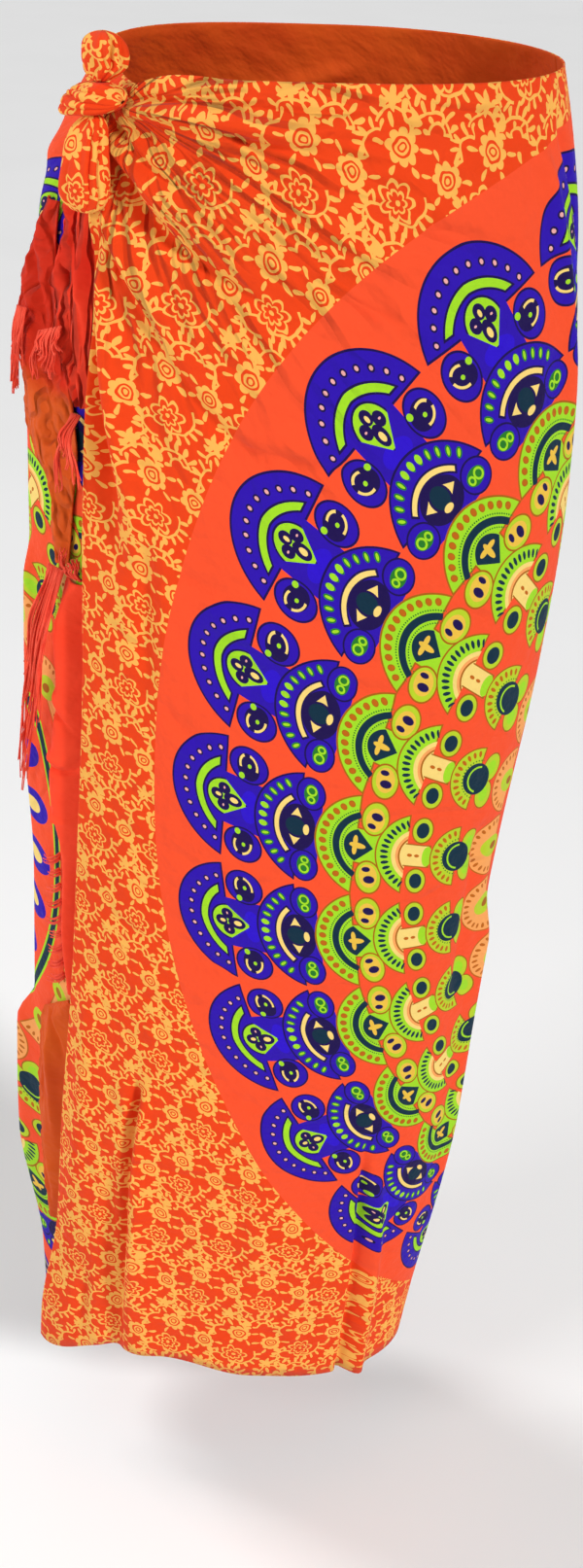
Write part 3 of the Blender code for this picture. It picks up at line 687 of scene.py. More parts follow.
def draw_small_fans(draw, at, x, across):
    """Three more rings of fans, each smaller than the last."""
    away, angle = fan(draw, at, x, 345.7, 33.5, 356.8, "brown", "lime", 1.1)
    draw.beads("teal", away, angle, 27.0, 9.0, 2.9, 1.25, 64)
    draw.paint("cream", draw.below(away, 21.8))
    draw.paint("apricot", draw.band(away, 17.8, 1.0))
    draw.paint("brown", draw.band(away, 16.2, 0.6))
    draw.paint("disc", draw.both(draw.below(away, 22.5), draw.below(x, 356.8)))
    draw.paint("brown", block(draw, x, across, 338, 358, 9.2))
    draw.paint("cream", block(draw, x, across, 340, 358, 8.2))
    draw.oval("amber", at, 354.0, 0, 1.9, 1.3)
    draw.oval("amber", at, 348.6, 0, 1.9, 1.2)
    drop_seed = draw.reach(at, 346.6, 20.3, 8.3, 10.6, 6)
    draw.paint("brown", draw.below(drop_seed, 1.0))
    draw.paint("yellow lime", draw.below(drop_seed, 0.88))
    draw.paint("teal", draw.below(drop_seed, 0.58))
    draw.oval("lime", at, 340.5, 0, 4.0, 8.0)
    away, angle = fan(draw, at, x, 313.7, 24.6, 314.8, "brown", "yellow lime", 1.0)
    draw.beads("amber", away, angle, 19.6, 14.5, 2.4, 1.3, 84)
    draw.beads("green", away, angle, 14.6, 10, 0.6, 0.6, 90)
    leaf = draw.reach(at, 303.8, 10.4, 8.6, 11.6, 8)
    draw.paint("brown", draw.below(leaf, 1.0))
    draw.paint("yellow lime", draw.below(leaf, 0.9))
    draw.paint("lime", draw.below(leaf, 0.5))
    dome = draw.away(at, 315.5)
    draw.paint("teal", draw.below(dome, 12.2))
    draw.paint("lime", draw.both(draw.band(draw.away(at, 313.5), 9.6, 0.7), draw.above(x, 314)))
    away, angle = fan(draw, at, x, 270.0, 25.4, 266.0, "amber", "apricot", 1.0)
    draw.beads("amber", away, angle, 20.5, 14.5, 2.2, 1.2, 92)
    draw.oval("yellow lime", at, 272, 0, 12, 9)
    draw.oval("brown", at, 270, 0, 5, 3.4)


def draw_middle(draw, at, radius):
    """The middle of the wheel, which no side of the photograph shows: plain rings and one round of petals."""
    draw.paint("lime", draw.band(radius, 243, 5))
    draw.paint("teal", draw.band(radius, 243, 3))
    draw.oval("blue", at, 212, 0, 20, 13)
    draw.oval("cream", at, 210, 0, 11, 6)
    draw.paint("navy", draw.band(radius, 182, 7))
    draw.oval("lime", at, 182, 0, 4, 7)
    draw.paint("blue", draw.below(radius, 168))
    draw.paint("cream", draw.band(radius, 160, 2))
    draw.oval("yellow lime", at, 120, 0, 32, 9)
    draw.oval("teal", at, 122, 0, 18, 4)
    draw.paint("navy", draw.below(radius, 84))
    draw.paint("apricot", draw.band(radius, 76, 3))
    draw.paint("disc", draw.below(radius, 62))
    draw.paint("cream", draw.band(radius, 40, 2))
    draw.paint("blue", draw.below(radius, 26))
    draw.paint("yellow", draw.below(radius, 10))


# %% [markdown]
# ### The flower field
# Outside the disc small golden flowers, stems and leaves repeat in slanting rows about 55 mm apart. The
# flat position is wrapped to one cell round each motif, so that no motif is cut by the edge of its cell.

# %% Draw the flower field
CELL_SIDE = (50.1, 4.1)
CELL_DOWN = (-24.4, -58.1)
CELL_START = (-400.0, 467.7)
WAVER = 3.6                 # millimetres by which the field wavers


def cell(draw, flat, x, y):
    """Position in millimetres from the nearest repeat of a motif at x, y in the cell: the offset is split
    along the cell's two slanting sides, each part is wrapped to -0.5..0.5, and they are added again."""
    det = CELL_SIDE[0] * CELL_DOWN[1] - CELL_SIDE[1] * CELL_DOWN[0]
    local = draw.vector("SUBTRACT", flat, (CELL_START[0] + x, CELL_START[1] + y, 0.0))
    side = draw.vector("DOT_PRODUCT", local, (CELL_DOWN[1] / det, -CELL_DOWN[0] / det, 0.0))
    down = draw.vector("DOT_PRODUCT", local, (-CELL_SIDE[1] / det, CELL_SIDE[0] / det, 0.0))
    side = draw.math("WRAP", side, 0.5, -0.5)
    down = draw.math("WRAP", down, 0.5, -0.5)
    across = draw.math("MULTIPLY_ADD", side, CELL_SIDE[0], draw.math("MULTIPLY", down, CELL_DOWN[0]))
    up = draw.math("MULTIPLY_ADD", side, CELL_SIDE[1], draw.math("MULTIPLY", down, CELL_DOWN[1]))
    return draw.point(across, up)


def draw_flower(draw, at, radius):
    """A round flower: eight round petals, a ring, an inner ring and a heart, with three leaves round it."""
    away, angle = draw.polar(at, 0.0)
    leaves = draw.ticks(away, angle, radius + 3.4, 60, 3.0, 1.1, 400)
    draw.paint("gold", leaves)
    folded = draw.math("PINGPONG", angle, np.pi / 8)
    x = draw.math("MULTIPLY", away, draw.math("COSINE", folded))
    y = draw.math("MULTIPLY", away, draw.math("SINE", folded))
    petal = draw.away(draw.point(x, y), radius - 2.4)
    heart = draw.math("SUBTRACT", away, radius - 5.2)
    draw.paint("gold", draw.below(draw.math("MINIMUM", petal, heart), 2.45))
    draw.paint("field", draw.band(away, 0.50 * radius, 0.6))
    draw.paint("field", draw.band(away, 0.23 * radius, 0.5))


def sprig(draw, at, x, y, facing, radius, leaf, spacing, half_out, half_side, opening, stem=0.7):
    """A bent stem, part of a ring round x, y, with leaves that point outwards (or inwards when leaf is less
    than radius). Facing is the direction of its middle and opening half of its angle, in degrees."""
    away, angle = draw.polar(at, x, y)
    turned = draw.math("WRAP", draw.math("SUBTRACT", angle, np.radians(facing)), np.pi, -np.pi)
    turned = draw.math("ABSOLUTE", turned)
    bent = draw.both(draw.band(away, radius, stem), draw.below(turned, np.radians(opening)))
    leaves = draw.ticks(away, turned, leaf, spacing, half_out + 0.3, half_side + 0.3, opening, spacing / 2)
    draw.paint("gold", draw.either(bent, leaves))


def draw_field(draw, flat):
    """Stems and leaves first, then the flowers over them. The whole field wavers a little, as hand-cut blocks
    print it."""
    waver = draw.noise(flat, 0.13, 1.0).outputs["Color"]
    flat = draw.vector("MULTIPLY_ADD", waver, (WAVER, WAVER, 0.0), flat)
    at = cell(draw, flat, -5, -24)
    away, angle = draw.polar(at, 0.0)
    folded = draw.math("PINGPONG", angle, np.pi / 7)
    outline = draw.math("MULTIPLY_ADD", draw.math("COSINE", draw.math("MULTIPLY", folded, 3.5)), 3.0, 6.2)
    petals = draw.band(away, outline, 0.8)
    inner = draw.band(draw.math("MULTIPLY", away, 1.8), outline, 1.15)
    draw.paint("gold", draw.either(petals, inner))
    draw.paint("gold", draw.below(away, 1.3))
    sprig(draw, at, 4, 2, -60, 11.5, 14.2, 21, 2.4, 0.85, 68)
    sprig(draw, at, -9, -4, 200, 7.5, 10.2, 34, 2.4, 0.85, 75)
    at = cell(draw, flat, 19, -35)
    star, spin = draw.polar(at, 0.0)
    point = draw.math("PINGPONG", spin, np.pi / 5)
    draw.paint("gold", draw.below(star, draw.math("MULTIPLY_ADD", point, -6.6, 6.4)))
    sprig(draw, at, 2, -12, 75, 8.5, 11.2, 30, 2.6, 0.9, 95)
    sprig(draw, at, 15, 6, 150, 7.0, 9.8, 36, 2.5, 0.85, 80)
    draw.paint("gold", draw.band(draw.reach(at, 11.5, -6.5, 4.6, 2.5, -30), 1.0, 0.22))
    at = cell(draw, flat, 16, 12)
    sprig(draw, at, 0, -5, 80, 9.5, 12.6, 24, 2.8, 0.85, 88)
    sprig(draw, at, 2, -4, 90, 4.0, 5.8, 60, 1.8, 0.7, 100)
    draw.paint("gold", draw.band(draw.reach(at, -13.5, 3.0, 2.4, 4.2, 20), 1.0, 0.22))
    sprig(draw, at, 22, -10, 130, 7.5, 10.2, 33, 2.4, 0.8, 85)
    draw_flower(draw, cell(draw, flat, 0, 0), 8.6)
    draw_flower(draw, cell(draw, flat, 23, -11), 7.8)


# %% [markdown]
# ### How the cloth feels
# Light cotton shows its weave from near, and fine creases where it is pulled. They are bump, because they
# are too fine for the mesh, and they read the piece's own cloth map, so that they follow the cloth.

# %% Weave and fine creases
GATHER_REACH = 260          # millimetres from the knot to where its creases have faded
GATHER_START = 60.0         # and to where they are at their full depth
KNOT_FLAT = 1000 * flat_cloth(np.array(along(-53.0, 0.021)), np.array(-0.021))


def gathered_bump(draw, flat):
    """Fine creases as bump. Near the knot the noise runs over the angle, so that its valleys radiate, and
    fades with the distance. Elsewhere they are long and faint."""
    away, angle = draw.polar(flat, float(KNOT_FLAT[0]), float(KNOT_FLAT[1]))
    fade = draw.math("MAXIMUM", draw.math("MULTIPLY_ADD", away, -1 / GATHER_REACH, 1.0), 0.0)
    start = draw.math("MULTIPLY", draw.math("MINIMUM", away, GATHER_START), 1 / GATHER_START)
    fade = draw.math("MULTIPLY", fade, start)
    near = draw.point(draw.math("MULTIPLY_ADD", angle, 5.2, 20.0), draw.math("MULTIPLY", away, 0.011))
    near = draw.valleys(near, 5.5, 0.45)
    far = draw.valleys(draw.vector("MULTIPLY", flat, (0.0075, 0.013, 0.0)), 11.0, 0.45)
    return draw.math("MULTIPLY_ADD", near, fade, draw.math("MULTIPLY", far, 0.14))


def crumpled_bump(draw, flat, across, down, share):
    """Uneven valleys, so many for each millimetre across and down."""
    valleys = draw.valleys(draw.vector("MULTIPLY", flat, (across, down, 0.0)), 5.0, 0.5)
    return draw.math("MULTIPLY", valleys, share)


def cloth_feel(draw, shader, flat, gathered=None):
    """A fine plain weave and faint crinkles as bump, and a soft sheen."""
    weave = draw.tree.nodes.new("ShaderNodeTexWave")
    weave.inputs["Scale"].default_value = 1.2
    weave.inputs["Distortion"].default_value = 0.6
    draw.tree.links.new(flat, weave.inputs["Vector"])
    normal = draw.bump(weave.outputs["Fac"], 0.12, 0.0002)
    normal = draw.bump(draw.noise(flat, 0.055, 3.0).outputs["Fac"], 0.6, 0.006, normal)
    if gathered is not None:
        normal = draw.bump(gathered, 1.0, 0.013, normal)
    draw.tree.links.new(normal, shader.inputs["Normal"])
    shader.inputs["Roughness"].default_value = 0.78
    shader.inputs["Specular IOR Level"].default_value = 0.15
    shader.inputs["Sheen Weight"].default_value = 0.03


def new_material(name):
    """A material, its shader and a drawing on its nodes."""
    material = bpy.data.materials.new(name)
    material.use_nodes = True
    tree = material.node_tree
    return material, tree.nodes["Principled BSDF"], Drawing(tree, "field")


def flat_millimetres(draw):
    map_node = draw.tree.nodes.new("ShaderNodeUVMap")
    map_node.uv_map = "cloth"
    return draw.vector("SCALE", map_node.outputs[0], (0.0, 0.0, 0.0), (0.0, 0.0, 0.0), 1000.0)


# %% [markdown]
# ### The printed material
# One material carries the whole print, because it is one cloth. The angle round the wheel is folded into
# half a sector, and the fans are painted there from the outside in.

# %% The printed material
def printed_material(name):
    """The whole print on one Principled shader."""
    material, shader, draw = new_material(name)
    flat = flat_millimetres(draw)
    draw_field(draw, flat)
    radius = draw.vector("LENGTH", flat)
    spin = draw.polar(flat, 0.0)[1]
    from_axis = draw.math("PINGPONG", draw.math("SUBTRACT", spin, np.radians(FIRST_AXIS)), np.pi / SECTORS)
    x = draw.math("MULTIPLY", radius, draw.math("COSINE", from_axis))
    across = draw.math("MULTIPLY", radius, draw.math("SINE", from_axis))
    at = draw.point(x, across)
    draw.paint("disc", draw.below(radius, DISC_RADIUS))
    for draw_ring in (draw_outer_fans, draw_second_fans, draw_lime_fans, draw_small_fans):
        draw_ring(draw, at, x, across)
    draw_middle(draw, at, radius)
    draw.tree.links.new(draw.colour(), shader.inputs["Base Color"])
    cloth_feel(draw, shader, flat, gathered_bump(draw, flat))
    print(name, "uses", len(draw.tree.nodes), "nodes")
    return material


printed = printed_material("printed_cloth")

# %% [markdown]
# ### The plain bands
# Both ends of the cloth are dyed without print, a little unevenly, as cloth dyed by hand is. Soft clouds of
# two close reds do this, and the reverse is a duller orange. A crumple adds pressed-in valleys as bump.
# The bulge of the back end is a dull orange-brown with painted shade over its top, a dark red where it lies
# under the knot and the front end's pleats.

# %% The plain materials
def plain_material(name, colour, deep, size=45.0, edge=None, own_map=True, crumple=None):
    """Cloth without print: two close colours in soft clouds of a size in millimetres. With an edge, the deep
    colour takes over above that height on the flat cloth, as a painted shade. A piece without a cloth map
    reads its place. A crumple of 0 leaves out all bump."""
    material, shader, draw = new_material(name)
    if own_map:
        flat = flat_millimetres(draw)
    else:
        at = draw.tree.nodes.new("ShaderNodeTexCoord").outputs["Object"]
        flat = draw.vector("SCALE", at, (0.0, 0.0, 0.0), (0.0, 0.0, 0.0), 1000.0)
    clouds = draw.noise(flat, 1 / size, 3.0).outputs["Fac"]
    share = draw.math("MULTIPLY_ADD", clouds, 2.4, -0.7)
    if edge is not None:
        # above the edge the deep colour takes over, as a painted shade
        height = draw.vector("DOT_PRODUCT", flat, (0.0, 1.0, 0.0))
        share = draw.math("ADD", share, draw.math("MULTIPLY_ADD", height, 1 / SHADE_EDGE_SOFT, -edge / SHADE_EDGE_SOFT))
    ramp = draw.tree.nodes.new("ShaderNodeValToRGB")
    for stop, part in zip(ramp.color_ramp.elements, (colour, deep)):
        stop.color = (*part, 1)
    draw.tree.links.new(share, ramp.inputs[0])
    draw.tree.links.new(ramp.outputs[0], shader.inputs["Base Color"])
    if crumple != 0:
        cloth_feel(draw, shader, flat, crumple and crumpled_bump(draw, flat, *crumple))
    return material


SHADE_EDGE_SOFT = 16.0            # millimetres over which one colour gives way to the other at the edge of a painted shade
BULGE_SHADE_EDGE = -186.0         # millimetres on the flat cloth, above which the bulge takes its painted shade
plain = plain_material("plain_band", (0.92, 0.060, 0.022), (0.74, 0.024, 0.008), crumple=(0.120, 0.020, 1.0))
smooth_band = plain_material("plain_band_smooth", (0.95, 0.070, 0.024), (0.86, 0.045, 0.012))
reverse = plain_material("plain_band_reverse", (0.66, 0.090, 0.006), (0.56, 0.055, 0.004))
# the bulge's deep colour is painted shade: a dark red over its top, under the knot and the front end's pleats
bulge_painted_shade = plain_material("plain_band_bulge_painted_shade", (0.66, 0.085, 0.006), (0.62, 0.022, 0.004), 30.0, BULGE_SHADE_EDGE,
                       crumple=(0.060, 0.036, 0.6))
print("materials:", [made.name for made in (printed, plain, smooth_band, reverse, bulge_painted_shade)])

# %% [markdown]
# ### The wrap
# The two grids are made sheets here, with the print on the outer side and the plain reverse inside. They
# stand for the two wall nodes of the frame.

# %% Build the wrap
for name, (turn, drop, out) in zip(("wrap_front", "wrap_back"), wrap_grid()):
    points = place(turn, drop, out + wrap_out(turn, drop))
    wrap = grid_mesh(name + "_cloth", points, flat_cloth(along(turn, drop), -drop), printed)
    thicken(wrap, lining=reverse)
    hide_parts(name)
    print(name, turn.shape, "from", round(float(along(turn, drop).min()), 3), "to",
          round(float(along(turn, drop).max()), 3), "m of cloth")

# %% [markdown]
# ## The hanging ends
# Both ends of the cloth are pulled through at the side and hang below the knot. Each is the plain band at
# the end of the cloth, doubled over in rounded pleats that lie on the back stretch.

# %% Where the hanging ends lie
Fall = namedtuple("Fall", "drop turn_from turn_to stand_out")


def fall_rows(*rows):
    """Falls from rows of a drop in millimetres, two turns in degrees and a height in tenths of one."""
    return [Fall(*row) for row in np.array(rows) / (1000, 1, 1, 10000)]


FRONT_END_PLEATS = fall_rows(
    (33, -63.5, -57, 20), (50, -68, -55.2, 40), (80, -68, -53, 70), (120, -66, -50.5, 85),
    (150, -64.5, -50.3, 80), (175, -58.5, -50.3, 60), (195, -54, -50.3, 40),
)
FRONT_END_ROLL = fall_rows(
    (313, -60.5, -50.6, 30), (330, -63.5, -50.6, 95), (400, -65.5, -51, 120), (490, -67, -51.6, 120),
    (510, -63.5, -52, 95), (600, -62, -53.2, 70), (645, -60, -54.2, 30),
)
BACK_END_FOLD = fall_rows(
    (82, -82, -73, 30), (110, -83, -70.5, 50), (140, -86, -67, 80), (170, -88, -62, 105),
    (185, -87, -57.5, 105), (205, -85, -55.5, 90), (235, -80, -54.5, 75), (252, -70, -56, 60),
    (275, -68, -57, 50), (303, -66, -58.5, 40),
)
BACK_END_HEM = fall_rows(
    (653, -59, -55, 20), (675, -74, -56, 50), (720, -79, -57.5, 80), (800, -79, -60.2, 85),
    (855, -78, -63.6, 70), (885, -76, -67.5, 40),
)
CRINKLE = 0.0011            # height of the fine waves at a frayed edge
LEAST_STAND = 0.0003        # so that no crease cuts into the back stretch
SOLID_WALL = 0.0016         # how far the solids' hanging ends stand off the back stretch
print("hanging ends reach from", FRONT_END_PLEATS[0].drop, "to", BACK_END_HEM[-1].drop, "m below the waist")

# %% [markdown]
# ### The creases of the hanging ends
# Gathered ends crumple where they are squeezed, so their creases are short, deep and uneven, and most of
# them lie across the pleats. They are placed one by one, as those of the front are.

# %% The creases of the hanging ends
HANGING_CREASES = fold_rows(
    (-60.5, 88, -60, 120, -62.5, 150, 20, 30, -50), (-56, 78, -56.5, 120, -52.5, 178, 30, 30, -22),
    (-66.5, 82, -62, 96, -66, 112, 30, 40, -40), (-68, 110, -64, 118, -63, 136, 20, 30, 36),
    (-66, 124, -64, 136, -65, 152, 22, 24, -44), (-58.5, 120, -57, 142, -58.5, 168, 24, 30, 24),
    (-54, 128, -52, 150, -52.5, 185, 20, 24, -26), (-63.5, 60, -61, 75, -63, 96, 26, 40, -30),
    (-82, 100, -77, 112, -76, 140, 30, 40, -42), (-85, 128, -78, 130, -72, 148, 28, 40, 36),
    (-87, 148, -80, 141, -70, 160, 30, 36, -48), (-86, 168, -80, 160, -74, 180, 26, 40, 34),
    (-80, 118, -74, 130, -70, 152, 26, 30, -40), (-83, 176, -77, 182, -76, 204, 26, 36, -42),
    (-74, 150, -70, 170, -72, 196, 30, 36, 30), (-68, 178, -64, 210, -62, 240, 50, 60, -24),
    (-66, 226, -63, 222, -60.5, 214, 18, 22, -22), (-76, 226, -72, 240, -70, 262, 40, 40, 20),
    (-65, 400, -60, 404, -54.5, 424, 20, 26, -46), (-64, 392, -59, 394, -54, 412, 26, 36, 26),
    (-66, 442, -59, 464, -52.5, 446, 22, 26, -50), (-66, 434, -59, 454, -53, 437, 26, 36, 28),
    (-66, 484, -59, 500, -52.5, 490, 20, 22, 34), (-63, 338, -59, 366, -61, 398, 28, 34, -34),
    (-76, 690, -70, 720, -70, 790, 40, 50, -36), (-72, 668, -64, 684, -60, 715, 30, 40, -40),
    (-68, 690, -63, 740, -64, 820, 40, 50, 30), (-74, 780, -70, 830, -70, 880, 40, 40, -30),
)
print("creases of the hanging ends:", len(HANGING_CREASES))

# %% [markdown]
# ### The pleats, the roll and the two back ends
# Each end is a sheet that stands out in rounded pleats. It lies a little off the back stretch, as the
# solids do, and its far edge is frayed. Simulated cloth would slide down, so the place of each edge is read
# from its rows.

# %% Build the hanging ends
def edge_wave(drop, seed):
    """A frayed, crinkled edge: three waves of uneven length, in degrees of turn."""
    return (0.55 * np.sin(190 * drop + seed) + 0.35 * np.sin(431 * drop + 2.1 * seed)
            + 0.20 * np.sin(887 * drop + 0.7 * seed))


def hanging_grid(rows, pleats, clear, down_count, across_count, ragged):
    """A hanging end: turns between two edges, standing out by sin(pi * pleats * across) squared, with the
    creases added. Towards its far edge the cloth is crinkled, the more so the more ragged it is."""
    drop = np.linspace(rows[0].drop, rows[-1].drop, down_count)[:, None]
    across = np.linspace(0, 1, across_count)[None, :]
    turn_from = read(rows, "turn_from", drop)
    turn_from = turn_from + ragged * edge_wave(drop, 1.0) * ease((drop - drop[0]) / 0.02)
    turn = turn_from + (read(rows, "turn_to", drop) - turn_from) * across
    rise = np.sin(np.pi * pleats * across) ** 2
    drop = drop + 0 * turn
    base = back_inset(turn) + fold_relief(turn + 360, drop, MAIN_FOLDS) + SOLID_WALL + clear
    frayed = np.sin(260 * drop + 9 * across) * np.sin(97 * drop + 3) * np.exp(-2.2 * across)
    crinkle = ragged * CRINKLE * frayed
    inside = np.minimum(1, 6 * np.minimum(across, 1 - across) + 0.25)
    creases = fold_relief(turn, drop, HANGING_CREASES) * inside
    stand = read(rows, "stand_out", drop) * rise + crinkle * rise + creases
    return turn, drop, base + np.maximum(stand, LEAST_STAND)


def hanging_end(name, rows, pleats, clear, down_count, across_count, ragged, material):
    """Builds one hanging end and hides the node that it stands for."""
    turn, drop, out = hanging_grid(rows, pleats, clear, down_count, across_count, ragged)
    flat = np.stack([along(turn, drop), -drop], axis=-1)
    made = thicken(grid_mesh(name + "_cloth", place(turn, drop, out), flat, material))
    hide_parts(name)
    return made


pleats = hanging_end("front_end_pleats", FRONT_END_PLEATS, 2, 0.0008, 190, 90, 1.0, plain)
roll = hanging_end("front_end_roll", FRONT_END_ROLL, 1, 0.0003, 260, 60, 0.15, smooth_band)
# the back end's fold takes the bulge cloth, with painted shade over its top
back_fold = hanging_end("back_end_fold", BACK_END_FOLD, 1, 0.0016, 220, 110, 1.4, bulge_painted_shade)
back_hem = hanging_end("back_end_hem", BACK_END_HEM, 1, 0.0011, 200, 70, 0.8, reverse)
print("four hanging ends")

# %% [markdown]
# ## The knot
# The two upper corners cross, and one is wrapped round the other and pulled tight, which leaves a band, a
# looped ear above it and a short tail below. Each is a bunch of cloth built as rings along a spine.

# %% The rows of the knot, its ear and its tail
Bunch = namedtuple("Bunch", "turn drop out width depth")
KNOT = (
    Bunch(-67.0, 0.0200, 0.0120, 0.0130, 0.0140),
    Bunch(-61.5, 0.0190, 0.0130, 0.0170, 0.0190),
    Bunch(-55.0, 0.0170, 0.0124, 0.0160, 0.0190),
    Bunch(-48.5, 0.0170, 0.0078, 0.0120, 0.0140),
)
KNOT_EAR = (
    Bunch(-58.0, 0.0088, 0.0120, 0.0220, 0.0130),
    Bunch(-58.5, -0.0005, 0.0126, 0.0350, 0.0190),
    Bunch(-59.0, -0.0090, 0.0126, 0.0360, 0.0200),
    Bunch(-59.0, -0.0180, 0.0122, 0.0290, 0.0150),
)
KNOT_TAIL = (
    Bunch(-55.0, 0.0257, 0.0094, 0.0230, 0.0110),
    Bunch(-53.5, 0.0400, 0.0101, 0.0290, 0.0150),
    Bunch(-50.5, 0.0600, 0.0104, 0.0340, 0.0156),
    Bunch(-49.0, 0.0760, 0.0093, 0.0350, 0.0140),
)
Pinch = namedtuple("Pinch", "angle lean width depth")
KNOT_PINCHES = (
    Pinch(58, 20, 10, 0.24), Pinch(88, 26, 9, 0.30), Pinch(120, 18, 11, 0.22), Pinch(30, 10, 9, 0.14),
)
EAR_PINCHES = (
    Pinch(20, -8, 8, 0.30), Pinch(48, 10, 10, 0.17), Pinch(80, 14, 10, 0.14), Pinch(-8, -4, 9, 0.15),
)
TAIL_PINCHES = (
    Pinch(42, 6, 9, 0.42), Pinch(72, -12, 10, 0.18), Pinch(14, 8, 9, 0.22), Pinch(100, 6, 9, 0.14),
)
KNOT_WALL = 0.0008          # thickness of the bunched cloth
print("the tail is", 1000 * (KNOT_TAIL[-1].drop - KNOT_TAIL[0].drop), "mm long along its rows")

# %% [markdown]
# ### The bunches
# Gathered cloth has long valleys that run along it. Each bunch is an open tube of cloth, so that it has the
# real thickness, and its pinches are such valleys, set by their angle round the bunch.

# %% Build the knot, its ear and its tail
def bunch_grid(rows, lying, rings, round_count, pinches):
    """Rings along a bunch: rounded boxes whose ends close as the root of 1 - |t| to the fifth. Each pinch is
    a valley along it, at an angle that leans with t: depth * exp(-(degrees from it / width) squared)."""
    count = np.linspace(0, len(rows) - 1, rings)
    spine = np.array(rows, float)
    steps = np.arange(len(rows))
    turn, drop, out, width, depth = (smooth(count, steps, spine[:, i])[:, None] for i in range(5))
    t = np.linspace(-1, 1, rings)[:, None]
    closing = np.sqrt(np.clip(1 - np.abs(t) ** 5, 0.02, 1))
    angle = np.linspace(0, 2 * np.pi, round_count, endpoint=False)[None, :]
    side = np.sign(np.cos(angle)) * np.abs(np.cos(angle)) ** 0.75
    outward = np.sign(np.sin(angle)) * np.abs(np.sin(angle)) ** 0.75
    full = 1 - 0.03 * np.sin(5 * t + 3 * angle)
    for pinch in pinches:
        line = np.radians(pinch.angle + pinch.lean * t + 3 * np.sin(7 * t))
        away_from_it = np.degrees(np.angle(np.exp(1j * (angle - line))))
        full = full - pinch.depth * np.exp(-((away_from_it / pinch.width) ** 2)) * (1 - 0.6 * t**6)
    across = side * width / 2 * closing * full
    away = out + outward * depth / 2 * closing * full
    if lying:
        return place(turn + 0 * across, drop - across, away)
    return place(turn + across / METRES_PER_DEGREE, drop + 0 * across, away)


def bunch(name, rows, lying, rings, round_count, pinches, start):
    """Builds one bunch and hides the node that it stands for. Its cloth map is in true lengths from its
    start.
    """
    points = bunch_grid(rows, lying, rings, round_count, pinches)
    ring = np.linalg.norm(np.roll(points, -1, axis=1) - points, axis=2).mean(axis=0)
    spine = np.linalg.norm(np.diff(points.mean(axis=1), axis=0), axis=1)
    u = start[0] + np.concatenate([[0.0], np.cumsum(ring)])[None, :] + np.zeros((rings, 1))
    v = start[1] - np.concatenate([[0.0], np.cumsum(spine)])[:, None] + 0 * u
    tube = grid_mesh(name + "_cloth", points, np.stack([u, v], axis=-1), printed, closed=True)
    made = thicken(tube, KNOT_WALL)
    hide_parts(name)
    print(name, "is", round(float(ring.sum()), 3), "m round and", round(float(spine.sum()), 3), "m long")
    return made


knot = bunch("knot", KNOT, True, 60, 144, KNOT_PINCHES, (-0.66, 0.42))
ear = bunch("knot_ear", KNOT_EAR, False, 60, 144, EAR_PINCHES, (-0.70, 0.36))
tail = bunch("knot_tail", KNOT_TAIL, False, 80, 144, TAIL_PINCHES, (-0.60, 0.30))

# %% [markdown]

# %% [markdown]
# ## The fringes
# The warp threads at both ends are left loose and knotted in small groups. Each strand is a thin tube, and
# the strands of a group share one root and spread towards their tips.

# %% Build the fringes
Fringe = namedtuple(
    "Fringe",
    "name tassels turn_a drop_a out_a turn_b drop_b out_b reach_turn reach_drop lift spread wave",
)
FRINGES = (
    Fringe("fringe_front_curls", 6, -65, 0.154, 0.0021, -57, 0.147, -0.0019, 1.2, 0.030, 0.003, 3, 1.2),
    Fringe("fringe_front_tassel", 4, -53.9, 0.1989, -0.0055, -50.8, 0.1989, -0.0055, 2, 0.05, 0.01, 7, 0.8),
    Fringe("fringe_back_curls", 7, -85, 0.150, 0.0047, -72, 0.144, 0.0047, -1.0, 0.055, 0.0015, 3, 1.2),
    Fringe("fringe_back_tassels", 7, -66.2, 0.3067, -0.005, -58.8, 0.3067, -0.006, -15, 0.18, 0.013, 7, 1.4),
    Fringe("fringe_roll_top", 4, -58, 0.3092, -0.0072, -51.8, 0.3092, -0.0078, 0.4, -0.020, 0.004, 1, 0.6),
    Fringe("fringe_side", 9, -65.5, 0.526, -0.0106, -62, 0.640, -0.0109, -9, 0.012, 0.004, 0, 0),
)
STRANDS_EACH = 6
STRAND_STEPS = 18
STRAND_SIDES = 5
STRAND_RADIUS = 0.0007
WAVES = 1.3                 # side to side along a tassel
SHORTER, UNEVEN = 0.16, 0.05  # the steps in length from group to group and from strand to strand


def fringe_paths(fringe):
    """Centre lines of the strands: a group's strands share its root, lean, length and wave, and each circles
    the group's middle at its own angle, further out towards the tip."""
    number = np.arange(fringe.tassels * STRANDS_EACH)[:, None]
    group, strand = number // STRANDS_EACH, number % STRANDS_EACH
    s = np.linspace(0, 1, STRAND_STEPS)[None, :]
    share = (group + 0.5 + 0.42 * (strand / (STRANDS_EACH - 1) - 0.5)) / fringe.tassels
    lean = fringe.spread * (group / (fringe.tassels - 1) - 0.5)
    length = 1 - SHORTER * ((3 * group) % 4) - UNEVEN * (strand % 3)
    circle = 2.4 * strand + group
    loose = 0.0005 + 0.0016 * s**1.5
    turn = fringe.turn_a + (fringe.turn_b - fringe.turn_a) * share
    sway = fringe.wave * s * np.sin(2 * np.pi * WAVES * s + group)
    turn = turn + (fringe.reach_turn + lean) * length * s**2 + sway
    turn = turn + (loose * np.cos(circle + 3 * s)) / METRES_PER_DEGREE
    drop = fringe.drop_a + (fringe.drop_b - fringe.drop_a) * share + fringe.reach_drop * length * s
    out = fringe.out_a + (fringe.out_b - fringe.out_a) * share
    out = out + fringe.lift * np.sin(np.pi * np.minimum(0.9 * s, 0.6)) + loose * np.sin(circle + 3 * s)
    return place(turn, drop, out)


